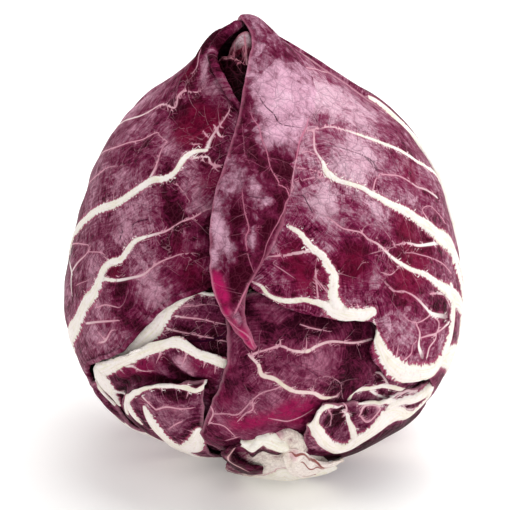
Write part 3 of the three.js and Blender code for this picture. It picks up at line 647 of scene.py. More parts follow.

# ---------------------------------------------------------------- right wrapper leaf
# The other broad leaf wraps the right half of the head, paler than the left one, partly from a painted
# sheen of the light from above. Its lower edge ends in two thick white lobes, where its ribs run
# together.

RIGHT_NET = [
    [(72, -74, 0), (88, -74, 0), (104, -74, 0), (120, -74, 0), (136, -74, 0)],
    [(74, -46, 0), (92, -46, 0), (112, -46, 0), (136, -46, 0), (162, -46, -0.6)],
    [(60, -19.5, 1.4), (82, -19, 0.9), (108, -18, 0.4), (142, -18, 0), (178, -18, -2.6)],
    [(40, -13, 1.4), (70, -9, 0.9), (104, -8, 0.4), (144, -8, 0), (184, -8, -2.6)],
    [(31, -2, 1), (64, 0, 0.5), (102, 2, 0.2), (146, 3, 0), (188, 3, -2.6)],
    [(33, 6, 0.3), (62, 9, 0.2), (100, 12, 0), (146, 13, 0), (190, 13, -2.6)],
    [(19, 9.5, 0.5), (54, 17, 0), (96, 21, 0), (144, 22, 0), (191, 22, -2.6)],
    [(5, 14, 0.2), (46, 26, 0), (94, 31, 0), (144, 32, 0), (191, 32, -2.6)],
    [(-9, 25, -0.2), (40, 37, 0), (92, 42, 0), (144, 43, 0), (191, 43, -2.6)],
    [(-12, 42, -0.3), (38, 50, 0), (92, 54, 0), (144, 55, 0), (191, 55, -2.6)],
    [(-8, 58, -0.3), (40, 63, 0), (92, 66, 0), (144, 67, 0), (191, 67, -2.6)],
    [(0, 70, 0), (44, 74, 0), (92, 76, 0), (144, 76, 0), (191, 76, -2.6)],
    [(14, 80.5, 0.2), (54, 82, 0), (92, 83, 0), (144, 83, 0), (191, 83, -2.6)],
]
RIGHT_RIBS = [
    [(28.5, 61, 0.3), (34.5, 61, 0.32), (42.5, 60.5, 0.36), (49.5, 58.5, 0.42), (54, 56, 0.5),
     (59, 53.5, 0.56), (64, 50.5, 0.6)],
    [(55, 55.5, 0.56), (59.5, 53, 0.6), (66.5, 49.5, 0.65), (71.5, 46.5, 0.7), (77.5, 42.5, 0.75),
     (85.5, 38, 0.85), (96, 31.5, 1.2), (100, 20, 1.8), (104, 0, 2.6), (106, -30, 4), (104, -74, 5)],
    [(31.5, 60.5, 0.3), (27, 55.5, 0.36), (27.5, 51.5, 0.5), (27, 49, 0.9), (28, 47.5, 1.1),
     (30.5, 45.5, 0.75), (34.5, 44, 0.65), (39, 42.5, 0.75), (41.5, 40.5, 0.95), (44.5, 38.5, 1.05),
     (48, 36, 1.2), (51.5, 34, 1.35), (55.5, 31.5, 1.45), (60, 29, 1.6), (64, 26, 1.9), (68, 22.5, 2.4),
     (75, 18, 3), (84, 9, 2), (92, -6, 2), (98, -30, 3), (100, -74, 5)],
    [(34, 29.5, 0.32), (37.5, 27.5, 0.36), (40, 25, 0.42), (42.5, 22.5, 0.52), (45, 20.5, 0.62),
     (50, 17.5, 0.7), (55, 14.5, 0.9), (59.5, 11, 1.25), (64.5, 7.5, 1.8), (70, 3.5, 2.6),
     (80, -4, 2.2), (88, -16, 2.2), (94, -40, 3)],
    [(9, 35, 0.6), (11.5, 33.5, 0.8), (13.5, 31, 0.9), (15.5, 29, 1), (18, 27, 1.15), (19.5, 24, 1.3),
     (21, 22, 1.45), (20.5, 19, 1.5), (20, 16, 1.6), (20.5, 13.5, 1.9), (22, 11.5, 1.9)],
    [(-3.5, 21, 0.3), (-0.5, 19.5, 0.5), (1.5, 17, 0.6), (6.5, 15.5, 0.75), (12, 15.5, 0.7),
     (16.5, 13.5, 0.5)],
    [(15, 15, 0.5), (17, 14, 0.9), (19, 12.3, 1.6), (22, 10.8, 2), (25.5, 9.6, 2.1), (29, 9.2, 1.9),
     (32, 9.6, 1.2)],
    [(32.5, 6.5, 0.4), (33, 1.5, 1.3), (35, -3, 1.9), (38, -7, 2.5), (43.5, -11, 2.9), (50, -13, 2.9),
     (56.5, -14, 2.8), (62, -12, 2.6), (65.5, -9, 2.4), (67.5, -4.5, 2.2), (69, 1, 2), (69, 6, 1.8)],
    [(42, 84.5, 0.2), (50, 82, 0.22), (52.5, 80, 0.24), (58, 78.5, 0.26), (68.5, 76.5, 0.28),
     (88.5, 74, 0.32), (112.5, 69, 0.36), (114.5, 64.5, 0.42), (111, 62.5, 0.48), (113, 58.5, 0.52),
     (111, 55.5, 0.58), (109, 52, 0.7), (112, 40, 0.9), (114, 10, 1.3), (116, -20, 2)],
    [(62, -12, 2.6), (76, -18, 4.4), (88, -34, 5), (98, -74, 5)],
    [(76, 14, 1.6), (82, 2, 2.4), (84, -8, 2.4), (86, -20, 2.4)],
]
RIGHT_THREADS = [
    [(21.5, 76.5, -0.14), (22, 75, -0.13), (28.5, 73, -0.13), (32.5, 70, -0.16), (35.5, 67.5, -0.17),
     (38.5, 65.5, -0.14), (42.5, 65.5, -0.15)],
    [(19, 77.5, -0.26), (24, 78.5, -0.33), (31.5, 79, -0.2)],
    [(37.5, 65, -0.16), (37, 63, -0.18), (37.5, 61, -0.13)],
    [(25.5, 54, 0.2), (23.5, 55, 0.2), (20.5, 55, 0.18)],
    [(25.5, 48, 0.28), (22.5, 49.5, 0.25), (16.5, 50.5, 0.2)],
    [(26.5, 47, 0.22), (21.5, 47.5, 0.2), (14, 47, 0.18)],
    [(27, 56, -0.12), (34, 55.5, -0.16), (39.5, 54, -0.16), (44, 51.5, -0.18), (47, 49, -0.18),
     (49.5, 44.5, -0.15)],
    [(28, 51.5, -0.14), (33.5, 52, -0.14), (40, 51.5, -0.12)],
    [(57.5, 70, -0.1), (58.5, 66.5, -0.13), (61.5, 64, -0.13), (72.5, 61.5, -0.13), (83.5, 57.5, -0.1)],
    [(66.5, 74, -0.1), (77.5, 69.5, -0.12), (79.5, 66, -0.14), (80, 63, -0.1)],
    [(43, 41.5, 0.3), (46, 43.5, 0.24), (49.5, 44.5, 0.22)],
    [(49.5, 44.5, 0.22), (53.5, 43.5, 0.25), (59, 42, 0.28), (63.5, 39, 0.34), (68.5, 36.5, 0.36),
     (76.5, 31.5, 0.45)],
    [(49.5, 44.5, -0.18), (49, 48, -0.18), (45.5, 50.5, -0.18)],
    [(49, 48, -0.12), (55.5, 47.5, -0.13), (61.5, 45.5, -0.1)],
    [(29.5, 51.5, -0.13), (35, 52, -0.15), (43, 51, -0.12)],
    [(11.5, 43, -0.13), (15, 43, -0.17), (16, 41, -0.2), (17, 38.5, -0.17)],
    [(17, 42.5, -0.12), (22.5, 42.5, -0.14), (28.5, 42, -0.13), (32.5, 43, -0.1)],
    [(17, 38.5, 0.12), (20.5, 37.5, 0.15), (23.5, 35.5, 0.2), (26, 33.5, 0.22), (29, 32.5, 0.25),
     (32, 31.5, 0.28), (34, 29.5, 0.3)],
    [(44.5, 26, 0.26), (49, 25.5, 0.36), (55, 23.5, 0.46), (61.5, 22, 0.55), (68.5, 20.5, 0.8)],
    [(44.5, 26, 0.18), (42, 29.5, 0.16), (40, 32, 0.16), (37, 33, 0.16), (34.5, 33, 0.15),
     (32.5, 32, 0.15)],
    [(38.5, 25.5, 0.15), (34.5, 25.5, 0.15), (32, 25, -0.14)],
    [(44, 25.5, 0.16), (42, 25.5, 0.16), (40, 25, 0.18)],
    [(19, 33.5, -0.12), (24.5, 31.5, -0.15), (31.5, 30.5, -0.15)],
    [(24, 29.5, -0.16), (26.5, 27.5, -0.13), (30, 25.5, -0.13), (33, 24, -0.18), (36, 21.5, -0.14)],
    [(48, 23, 0.16), (53.5, 21.5, 0.2), (60.5, 18, 0.22), (66.5, 14.5, 0.25), (71, 10.5, 0.3)],
    [(64, 28.5, 0.35), (63.5, 31.5, 0.22), (67.5, 31.5, 0.2), (72, 29, 0.2), (77, 24, 0.25)],
    [(36.5, 18, 0.16), (40, 14, 0.22), (45, 12.5, 0.25), (50, 9, 0.22)],
    [(29.5, 22.5, 0.12), (31, 23.5, 0.14), (34.5, 23, 0.14)],
    [(37.5, 19.5, 0.2), (40, 18.5, 0.22), (43.5, 19.5, 0.16)],
    [(8, 28.5, 0.3), (10.5, 28.5, 0.36), (15, 29, 0.4)],
    [(15.5, 23, 0.28), (15.5, 18.5, 0.28), (15.5, 15.5, 0.25)],
    [(16, 20.5, 0.16), (17, 19, 0.22), (18.5, 17, 0.25)],
    [(0.5, 27.5, 0.2), (6.5, 28, 0.3), (14, 28.5, 0.4)],
    [(-6, 13, 0.2), (-2.5, 15, 0.25), (1, 16.5, 0.3)],
    [(3, 25.5, 0.14), (5.5, 24, 0.18), (8.5, 22, 0.14)],
    [(45, 12.5, 0.22), (48.5, 10, 0.34), (52.5, 6, 0.45), (56, 3, 0.6), (63, 0, 0.8)],
    [(56, 3, 0.28), (50.5, 2.5, 0.24), (47.5, 3, 0.22), (44.5, 4.5, 0.18), (41.5, 7.5, 0.14),
     (39, 11, 0.1)],
    [(47.5, 3, 0.25), (49, -0.5, 0.35), (48.5, -4, 0.5), (50, -7.5, 0.8)],
    [(49, -2, 0.25), (53, -2.5, 0.32), (57.5, -3, 0.34), (59, -0.5, 0.3), (56.5, 2, 0.3)],
    [(41.5, 7.5, 0.12), (38, 4.5, 0.13), (38.5, -0.5, 0.14), (38, -4, 0.2)],
    [(36.5, 18, 0.16), (40.5, 14, 0.16), (43.5, 12.5, 0.16)],
    [(40.5, 14, 0.12), (39, 11, 0.1)],
    [(56, 9, 0.3), (61, 7.5, 0.4), (63.5, 6, 0.35), (66, 2.5, 0.35)],
    [(52.5, -8, 0.4), (53.5, -6, 0.35), (56.5, -4.5, 0.35), (57.5, -3, 0.3)],
    [(57.5, -3, 0.3), (60.5, -3, 0.35), (65.5, -2.5, 0.5)],
    [(43, -6.5, 0.3), (45.5, -5.5, 0.25), (46, -3.5, 0.2), (47.5, -2.5, 0.2)],
    [(39.5, -4.5, 0.3), (40, -2.5, 0.2), (40.5, 0, 0.1)],
    [(28, 10.5, 0.4), (27.5, 11.5, 0.3), (27.5, 13, 0.15)],
    [(29.5, 9.5, 0.4), (30.5, 11, 0.2)],
    [(25.5, 10.5, 0.4), (25.5, 12, 0.2)],
]
RIGHT_BACK_RIBS = [
    [(112, -50, 3), (132, -10, 2), (140, 30, 1.2), (144, 60, 0.6)],
    [(118, -40, 2), (150, -10, 1.2), (168, 20, 0.6), (176, 44, 0.3)],
]
# the crease along which the leaf is pleated over
HINGE = [
    [(35.5, 65, 0.14), (31.5, 63.5, 0.18), (28, 61.5, 0.22), (22, 58.5, 0.24), (17, 53.5, 0.21),
     (14, 49.5, 0.19), (11.5, 45, 0.19)],
    [(12.5, 45.5, 0.19), (10, 43, 0.18), (6, 37.5, 0.18), (1.5, 31.5, 0.16), (-1, 26, 0.13),
     (-3.5, 21.5, 0.1)],
]
RIGHT_FOLDS = [
    (-1.2, [(6, 30, 2.4), (9, 26, 2.6), (13, 21, 2.6)]),
    (-1.3, [(23, 23, 2.4), (28, 18, 3.4), (31, 13, 2.6)]),
    (0.8, [(34, 46, 3.5), (42, 50, 3.5), (50, 50, 3)]),
    (0.7, [(22, 41, 2.6), (30, 38, 2.6), (38, 35, 2.6)]),
    (-0.8, [(46, 16, 3), (52, 20, 3), (60, 24, 3)]),
    (-0.7, [(56, 27, 3), (64, 34, 3), (70, 40, 3)]),
]
# Painted shade in the dips of the folds and painted highlights on their crests; the broad pale patch over
# the upper part is a painted sheen of the light from above.
RIGHT_TONES = [
    (42.5, 72.5, 9, 1.2), (67, 69, 9, 1.2), (77, 61.5, 8, 0.8), (34.5, 47.5, 6, 1.5),
    (48, 51.5, 4, 1.1), (21.5, 40, 6, 1.5), (39, 36.5, 3, 1.2), (35, 20, 3, 1), (61, -6.5, 4, 0.9),
    (67.5, 42, 7, -0.7), (29, 44.5, 2, -1), (45, 43, 2.4, -1.1), (50, 30, 6, -1), (56, 21, 8, -1),
    (27.5, 24, 8, -1.1), (46, 15.5, 8, -1), (12.5, 21, 6, -1.1), (8, 29, 5, -1.2), (17, 33.5, 3, -1.2),
    (13.5, 38, 3, -1), (48, 56, 26, 0.5),
]
# crimson blush laid on the painted-shade patches
RIGHT_BLUSHES = [
    (67.5, 42, 7, 0.6), (50, 30, 6, 0.6), (56, 21, 8, 0.5), (27.5, 24, 8, 0.6), (46, 15.5, 8, 0.7),
    (12.5, 21, 6, 0.7), (81.5, -1.5, 1.4, 1.2), (8, 29, 5, 0.5),
]
right_fine = side_veins(RIGHT_RIBS[:7] + HINGE + RIGHT_THREADS[:6], 200)
# paler blade and pale colours than the left leaf's, partly a painted sheen of the light from above
right_skin = leaf_material("right_skin", Blade=(0.19, 0.011, 0.062), Bloom=(0.66, 0.39, 0.49),
                           Blush=(0.2, 0.004, 0.035))
leaf_piece("leaf_right_blade", "leaf_right", right_skin, [leaf_sheet(
    RIGHT_NET, (226, 200), RIGHT_RIBS + RIGHT_BACK_RIBS, RIGHT_THREADS + HINGE, right_fine, seed=5,
    folds=RIGHT_FOLDS, tones=RIGHT_TONES, blushes=RIGHT_BLUSHES, shows=(0.0, 0.5), rib_height=0.3)])

# ---------------------------------------------------------------- lapel of the right wrapper leaf
# The right wrapper's own left edge is pleated over on itself and hangs down the front as a long
# pointed lapel: one blade with the leaf, bent along a sharp crease, darker towards its tip.

LAPEL_NET = [
    [(-3, 2.8, 3), (-2.4, 3, 3.3), (-1.8, 3.6, 3)],
    [(-8.5, 9, 3.8), (-6, 9.6, 4.4), (-4.8, 10.5, 2.8)],
    [(-13.5, 17, 3.4), (-9, 17, 5), (-5, 17, 2.6)],
    [(-15.5, 24, 2.8), (-8, 24, 5), (-1, 25, 2)],
    [(-16, 32, 2.6), (-6, 33, 5), (4.5, 32.5, 0.8)],
    [(-15.5, 41, 2.4), (-4, 42, 4.6), (10, 42, -0.2)],
    [(-13, 50, 2), (-1, 51, 3.8), (16.5, 50, -0.5)],
    [(-10, 60, 1.9), (6, 59, 2.8), (27, 60, -0.5)],
    [(-7, 68, 1.8), (12, 66, 2), (42, 64, -0.5)],
    [(-4.5, 74, 1.7), (22, 73, 1.5), (60, 70, -0.6)],
    [(2, 80, 1.5), (36, 79, 1.2), (84, 76, -0.6)],
    [(14, 85.4, 1.4), (60, 84.8, 1.4), (112, 82.6, 0.6)],
    [(-14, 87.8, 1.2), (60, 87.2, 1.4), (136, 86.2, 1)],
    [(-30, 89.4, -1), (60, 89.5, -1), (150, 89.2, -1)],
]
LAPEL_VEINS = [
    [(-1, 68, 0.11), (-0.5, 64.5, 0.16), (2.5, 61, 0.19), (3, 57.5, 0.19), (4.5, 54, 0.19),
     (5, 49.5, 0.19), (7, 46.5, 0.21)],
    [(7.5, 45.5, 0.2), (9.5, 45, 0.21), (10, 43.5, 0.21)],
    [(-5.5, 45.5, 0.1), (-5.5, 42, 0.16), (-5, 38, 0.18), (-4, 34, 0.19), (-5, 31.5, 0.18),
     (-4.5, 27.5, 0.16), (-3, 23.5, 0.13)],
    [(-4, 33.5, 0.16), (-2.5, 34, 0.14), (-0.5, 34.5, 0.11)],
    [(-5.5, 42, -0.12), (-1, 41.5, -0.16), (4, 42, -0.13)],
    [(-10.5, 29, -0.12), (-5, 28, -0.13), (-1.5, 28.5, -0.1)],
    [(-1.5, 39, -0.15), (0, 37, -0.12)],
    [(-5, 44.5, -0.1), (1, 45, -0.12), (5.5, 45, -0.1)],
    [(-6, 62.5, 0.1), (-5, 57, 0.12), (-4.5, 53, 0.11), (-3, 50.5, 0.08)],
    [(4.5, 71.5, -0.14), (8, 67.5, -0.2), (12, 65, -0.22), (13.5, 62.5, -0.22), (19.5, 61.5, -0.2),
     (25, 61.5, -0.14)],
    [(-3, 22, 0.11), (-5.5, 17.5, 0.21), (-7.5, 13, 0.24)],
    [(-16, 28.5, 0.14), (-15, 23.5, 0.18), (-14, 19, 0.2), (-11, 12.5, 0.21), (-9.5, 10.5, 0.21),
     (-4, 6.5, 0.22), (-2.5, 3.5, 0.16)],
    [(-11, 10, 0.16), (-8, 6, 0.16), (-5, 3, 0.16)],
]
lapel_skin = leaf_material("lapel_skin", Blade=(0.13, 0.007, 0.04), Dark=(0.035, 0.0002, 0.007),
                           Bloom=(0.64, 0.35, 0.47), Blush=(0.42, 0.01, 0.1), Thread=(0.5, 0.16, 0.25),
                           Rim=0.45)
LAPEL_FOLDS = [
    (0.9, [(-12, 46, 1.6), (-14, 38, 1.6), (-15, 30, 1.6), (-14.5, 22, 1.6), (-11, 13, 1.6)]),
    (-0.9, [(-8.5, 46, 2), (-10.5, 38, 2), (-11, 30, 2), (-10.5, 22, 2), (-8, 14, 2)]),
    (-0.9, [(1, 50, 1.8), (6, 53, 1.8), (12, 52, 1.8)]),
    (0.7, [(4, 60, 2.4), (12, 57, 2.2), (20, 60, 2)]),
]
# Painted highlights on the crest of the fold down the left side and on the upper folds, painted shade in
# the dips beside them and along the crease.
LAPEL_TONES = [
    (14, 60.5, 3.5, 1.3), (5.5, 57, 3, 0.9), (9.5, 67, 3.6, 1), (10.5, 58.5, 3, 0.8),
    (31.5, 68, 7, 1.1), (51, 67.5, 7, 1.1), (30, 72, 14, 0.8), (17.5, 74, 4, 0.8), (19, 69, 4, 0.8),
    (-14, 39.5, 2.2, 0.9), (-14.6, 36.5, 2.2, 1.2), (-13.5, 33.5, 2.4, 1.2), (-12, 31, 2.4, 1.2),
    (-10.2, 28.5, 2.2, 1.2), (-7.8, 25.8, 1.4, 1.2), (-15, 27, 1.4, 1.6), (-15.5, 25, 1.2, 1.4),
    (-1.5, 43, 2.4, 1.4), (0.6, 40, 2.2, 1.2), (-2, 37, 1.8, 1), (-3, 33.5, 1.7, 1), (-3, 31, 1.8, 1.3),
    (-5, 46, 3, 0.8), (-9, 42.5, 2.4, 0.9), (-3.5, 67.5, 3, -0.9), (-5, 63.5, 3, -1), (-4, 58.5, 3, -1),
    (-2, 53.5, 2.6, -1), (1.5, 49.5, 3, -1.1), (10, 48.5, 3.5, -1.2), (13, 51, 3, -1),
    (7.5, 43, 2.2, -1.3), (6, 39.5, 2, -1.3), (3, 36, 1.8, -1.2), (0.5, 32, 1.8, -1.1),
    (-7.5, 36, 2, -1.2), (-8, 32, 1.6, -1.1), (-6.5, 26.5, 2.2, -1.2), (-6.5, 22, 2.6, -1.4),
    (-7.5, 16, 2.4, -1.2), (-3.5, 12, 2.6, -1), (-3, 40, 13, -0.6), (-7, 20, 9, -0.5),
]
# crimson along the rolled left edge: partly the leaf's crimson, partly a painted glow of light through
# the leaf and a painted sheen
LAPEL_BLUSHES = [
    (-13.6, 21.5, 2, 1.1), (-12.4, 19, 2, 1.2), (-10.8, 16.5, 1.8, 1.1), (-9.8, 13, 1.6, 0.8),
    (-8, 10, 1.6, 0.9), (-5.5, 7.5, 1.7, 1), (-3.5, 4.5, 1.8, 1),
]
lapel_fine = side_veins(LAPEL_VEINS[:4] + LAPEL_VEINS[8:12], 300, 3.4, 7, 0.12)
leaf_piece("leaf_right_lapel", "leaf_right", lapel_skin, [leaf_sheet(
    LAPEL_NET, (88, 220), [], LAPEL_VEINS + HINGE, lapel_fine, seed=7, folds=LAPEL_FOLDS,
    tones=LAPEL_TONES, blushes=LAPEL_BLUSHES, swell=0.35, curl=0.3)])

# ---------------------------------------------------------------- centre leaf
# A lower leaf in the middle of the front: it comes up from the root, bulges out and is tucked in
# under the right wrapper. Its ribs are slim and pink-edged.

CENTRE_NET = [
    [(24, -74, -3.6), (34, -74, -3.6), (44, -74, -3.6), (54, -74, -3.6)],
    [(-6, -52, -3.4), (12, -50, -3.4), (32, -48, -3.6), (54, -46, -4)],
    [(-19, -31, 1.5), (-4, -29, 1.8), (14, -24, -1), (43, -19, -4.4)],
    [(-17.5, -21, 2), (-2, -17, 3.4), (16, -13, 1), (42, -8, -4.2)],
    [(-12, -8, 1.5), (3, -6, 3), (18, -3, 0), (38, 0, -4)],
    [(-10, 1, 0.1), (5, 4, 0), (19, 6, -2.4), (34, 8, -3.8)],
    [(-12, 16, -2.6), (4, 19, -3), (19, 20, -3.4), (33, 20, -3.8)],
]
CENTRE_RIBS = [
    [(-3.5, 0, 0.45), (-1.5, -2, 0.5), (-0.5, -4.5, 0.6), (3, -5.5, 0.55), (5.5, -7.5, 0.55),
     (8.5, -9.5, 0.55), (13.5, -11, 0.55), (17, -13.5, 0.6), (21.5, -14.5, 0.4)],
    [(-3.5, 0, 0.35), (-2.5, 1, 0.35), (0.5, 2, 0.3), (4.5, 3, 0.35), (8, 1.5, 0.4), (12, 1, 0.5),
     (15, 2, 0.45), (19.5, 2.5, 0.4), (26.5, 1, 0.38), (33, 0.5, 0.4)],
]
CENTRE_THREADS = [
    [(14, -8.5, 0.14), (14.5, -7, 0.16), (18, -7, 0.16), (22, -10, 0.16), (24, -16, 0.14)],
    [(-13.5, -17.5, 0.2), (-10, -16.5, 0.2), (-7, -16, 0.2), (-3, -11.5, 0.2), (0, -9, 0.2),
     (5, -7.5, 0.2)],
    [(-7, -18, 0.2), (-5, -15.5, 0.2), (-3, -14, 0.25), (-3, -12, 0.2)],
    [(-3, -14, 0.2), (-1.5, -16, 0.14)],
    [(-3, -13, 0.2), (-5, -11, 0.12)],
    [(-3, -13, 0.2), (-1.5, -11.5, 0.14)],
    [(2, -17.5, 0.18), (4, -18.5, 0.25), (7, -20, 0.28), (11, -19.5, 0.26), (14, -18, 0.2)],
    [(10.5, 8.5, 0.18), (14, 7, 0.25), (19, 5.5, 0.18)],
    [(5, 8.5, -0.1), (8, 7.5, -0.12), (10.5, 8.5, -0.1)],
    [(8, -2, -0.1), (11.5, -3.5, -0.14), (14.5, -6, -0.14)],
    [(5.5, -2, -0.12), (8.5, -0.5, -0.15), (11, 0.5, -0.12)],
    [(4.5, 4, 0.25), (4.5, 3, 0.3)],
    [(12, 4.5, 0.15), (12, 3, 0.2), (11.5, 1, 0.25)],
    [(13.5, -9, 0.15), (14, -11, 0.2)],
    [(-16, -21, 0.3), (-14.5, -17.5, 0.3), (-15.5, -15.5, 0.25)],
    [(-16, -21, 0.2), (-11.5, -21, 0.25), (-8.5, -24.5, 0.2)],
    [(-11, -27, 0.2), (-8, -25, 0.25)],
]
centre_skin = leaf_material("centre_skin", Blade=(0.14, 0.012, 0.048), Dark=(0.022, 0.0003, 0.006),
                            Bloom=(0.4, 0.14, 0.22), Blush=(0.3, 0.007, 0.07), Rib=(0.8, 0.6, 0.6),
                            Feather=0.5, Rim=0.35)
CENTRE_FOLDS = [
    (-1.0, [(24, -2, 3), (26, -8, 3), (24, -13, 2)]),
    (0.7, [(-8, -18, 3), (0, -14, 3), (8, -14, 3)]),
    (-0.6, [(-10, -8, 3), (-4, -10, 3), (2, -3, 3)]),
]
# Painted shade at the top, where the leaf is tucked under the right wrapper, and in the dips of its
# folds; the paler patches on its bulge are painted highlights.
CENTRE_TONES = [
    (24, -8, 6, -1.3), (28.5, -2, 4, -0.9), (13, -3, 5, 0.8), (-0.5, -6, 4, 0.5), (5.5, -7.5, 4, 0.5),
    (-6.5, -12, 5, 0.6), (-11, -19, 5, 0.5), (14, 8, 5, -1.2), (-14, -8, 4, -0.6), (1, 8, 3, -1.2),
    (9.5, 8.5, 3, -1), (19, 7.5, 4, -1.2), (28.5, 5, 4, -1), (-5, 13.5, 3, -1.4), (26, -14, 4, -0.8),
    (12.5, -18, 3, -0.5),
]
CENTRE_BLUSHES = [
    (-8, -19.5, 3.4, 0.7), (-2.5, -18, 3.4, 0.8), (3, -16.5, 3.4, 0.8), (7.5, -14, 3.4, 0.8),
    (12, -16, 4, 0.8), (10.5, -20, 4, 0.6), (-11, -12, 3, 0.5), (-10, -3, 3, 0.4),
]
centre_fine = side_veins(CENTRE_RIBS + CENTRE_THREADS[:4], 400, 3.6, 8)
leaf_piece("leaf_centre_blade", "leaf_centre", centre_skin, [leaf_sheet(
    CENTRE_NET, (120, 140), CENTRE_RIBS, CENTRE_THREADS, centre_fine, seed=11, folds=CENTRE_FOLDS,
    tones=CENTRE_TONES, blushes=CENTRE_BLUSHES)])

# ---------------------------------------------------------------- lower left leaves
# Four leaves low on the left, each lying outside the one above it. Cut and torn when the head was
# trimmed, they show broad white ribs seen edge-on and purple blade sunk between them.

BAND_NET = [
    [(-66, -70, -3.6), (-52, -70, -3.6), (-38, -70, -3.6)],
    [(-66, -38, -4), (-46, -36, -4.6), (-22, -34, -5)],
    [(-64, -17, -1.6), (-40, -12, -3.8), (-12, -8, -5)],
    [(-54, -8, -1.5), (-32, -1, -2.6), (-9, 0, -4.6)],
    [(-44, 4, -1.6), (-25, 9, -2.2), (-8, 8, -4)],
    [(-36, 14, -2.2), (-22, 17, -1.8), (-7, 17, -3.6)],
]
BAND_RIBS = [
    [(-66, -40, 4), (-64.5, -18.5, 3.6), (-59.5, -15, 3.4), (-51, -9.5, 3.4), (-45.5, -5.5, 3.4),
     (-39.5, -0.5, 3.5), (-34.5, 4, 3.4), (-31.5, 7.5, 2.8), (-29, 11, 2.2), (-26.5, 13.5, 1.9),
     (-24, 15.5, 1.6), (-21, 17, 1.1), (-18, 17, 0.8), (-15.5, 16.5, 0.5)],
]
BAND_THREADS = [
    [(-26, 9, 0.4), (-23, 9, 0.28), (-19, 9, 0.24), (-15.5, 8.5, 0.22), (-12, 8, 0.18)],
    [(-29.5, 5, 0.4), (-25, 4.5, 0.3), (-20, 4, 0.26), (-15.5, 3.5, 0.24), (-8.5, 2, 0.2)],
    [(-26, 12, 0.3), (-22, 12.5, 0.2), (-17.5, 13.5, 0.16), (-14.5, 13.5, 0.14)],
    [(-12.5, 4, -0.3), (-17.5, 2.5, -0.4), (-22, 2, -0.3)],
]
CREST_NET = [
    [(-72, -74, -1.4), (-56, -74, -1.4), (-36, -74, -1.4)],
    [(-68, -48, -0.6), (-46, -45, -1.4), (-18, -42, -2.4)],
    [(-64, -28, 0.6), (-40, -26, -1.8), (-12, -24, -3.2)],
    [(-62, -19, 0.8), (-40, -11, -0.6), (-9, -14, -2.4)],
    [(-58, -12.5, 0.6), (-44, -6.2, 0.8), (-32, 0.6, 0.9), (-24, 4.2, 1), (-19.5, 1.6, 0.4),
     (-9, -2, -1.2)],
]
CREST_RIBS = [
    [(-62, -16, 3.4), (-57, -13.5, 3.4), (-51, -11, 2.8), (-45, -7.8, 2.2), (-39, -4.6, 1.8),
     (-34.5, -2, 1.6), (-30, 0.2, 1.5), (-26.5, 1.9, 1.6), (-23.8, 2.2, 1.8), (-21, 1, 1.7),
     (-18.5, -0.4, 1.6), (-15.5, -1.4, 1.6), (-12.5, -2.6, 1.5), (-10, -4, 1.1)],
    [(-57, -13, 3.6), (-57.5, -16, 4.4), (-56.5, -19, 4.2), (-56, -21.5, 2.6), (-55.5, -24, 1.6),
     (-56, -27, 1)],
    [(-64, -19, 2), (-63.5, -24, 1.6), (-62.5, -27.5, 1)],
    [(-54, -20, 1.2), (-51.5, -21.5, 0.7), (-50.5, -23.5, 0.5)],
]
CREST_THREADS = [
    [(-44.5, -8.5, 0.8), (-42, -8.5, 0.5), (-39.5, -8, 0.4), (-36, -9, 0.3), (-33.5, -8.5, 0.18)],
    [(-29.5, -0.5, 0.5), (-30.5, -3, 0.25), (-31.5, -5, 0.15)],
    [(-21.5, 0, 0.4), (-22.5, -2.5, 0.25), (-23.5, -5.5, 0.15)],
    [(-16.5, -1.5, 0.4), (-17, -4, 0.2)],
    [(-13.5, -3, 0.4), (-14, -5.5, 0.2)],
    [(-34, -3.5, 0.4), (-34.5, -5, 0.2)],
]
LOOP_NET = [
    [(-52, -70, -1), (-40, -70, -1), (-26, -70, -1)],
    [(-50, -56, -0.5), (-36, -58, -0.5), (-23, -54, -0.5)],
    [(-46, -42, 0.6), (-32, -45, 1.6), (-20.5, -39, 1.2)],
    [(-50, -29, 1.6), (-33, -28, 3), (-18.5, -26, 2)],
    [(-47, -20.5, 1.6), (-38, -14, 2.2), (-28, -10.4, 2.4), (-16.5, -8, 0.8)],
]
LOOP_RIBS = [
    [(-46.5, -25, 0.9), (-44, -20.5, 1), (-41, -17, 1.1), (-37, -14, 1), (-33, -12, 0.8),
     (-29, -11, 0.7), (-25.5, -10.5, 0.7), (-22, -10.5, 0.7), (-19, -11, 0.65), (-16.5, -9.5, 0.6),
     (-16.5, -8, 0.5)],
    [(-35.5, -19.5, 0.9), (-34.8, -22, 1.6), (-34, -25, 1.9), (-33, -29, 2.1), (-31.5, -33.5, 2.3),
     (-28, -35.5, 2.9), (-24.5, -33.5, 2.9), (-21.5, -29, 2.1), (-20, -25, 1.2)],
    [(-43, -20.5, 1.2), (-42.5, -22.5, 1.6), (-41.5, -24.5, 1.5), (-40.5, -26, 0.9)],
    [(-40, -70, 5), (-37, -54, 5), (-34, -42, 4.4), (-31.5, -36, 2.4)],
]
LOOP_THREADS = [
    [(-31.5, -18.5, 0.3), (-28, -17, 0.32), (-24, -17, 0.26), (-20.5, -16.5, 0.2)],
    [(-28.5, -24.5, 0.2), (-26, -22.5, 0.26), (-23.5, -21, 0.14)],
    [(-35.5, -16, 0.4), (-34, -17, 0.32), (-32, -18.5, 0.3)],
    [(-21, -11, 0.3), (-21.5, -12.5, 0.2)],
]
EDGE_NET = [
    [(-86, -72, 1.2), (-76, -72, 1.2), (-62, -72, 1)],
    [(-80, -46, 1.2), (-69, -46, 1.6), (-54, -48, 1.4)],
    [(-72.5, -31, 0.9), (-64.5, -31, 1.6), (-55, -34, 1.6)],
    [(-69, -23.5, 0.4), (-65, -22, 1), (-60, -20, 1.4)],
]
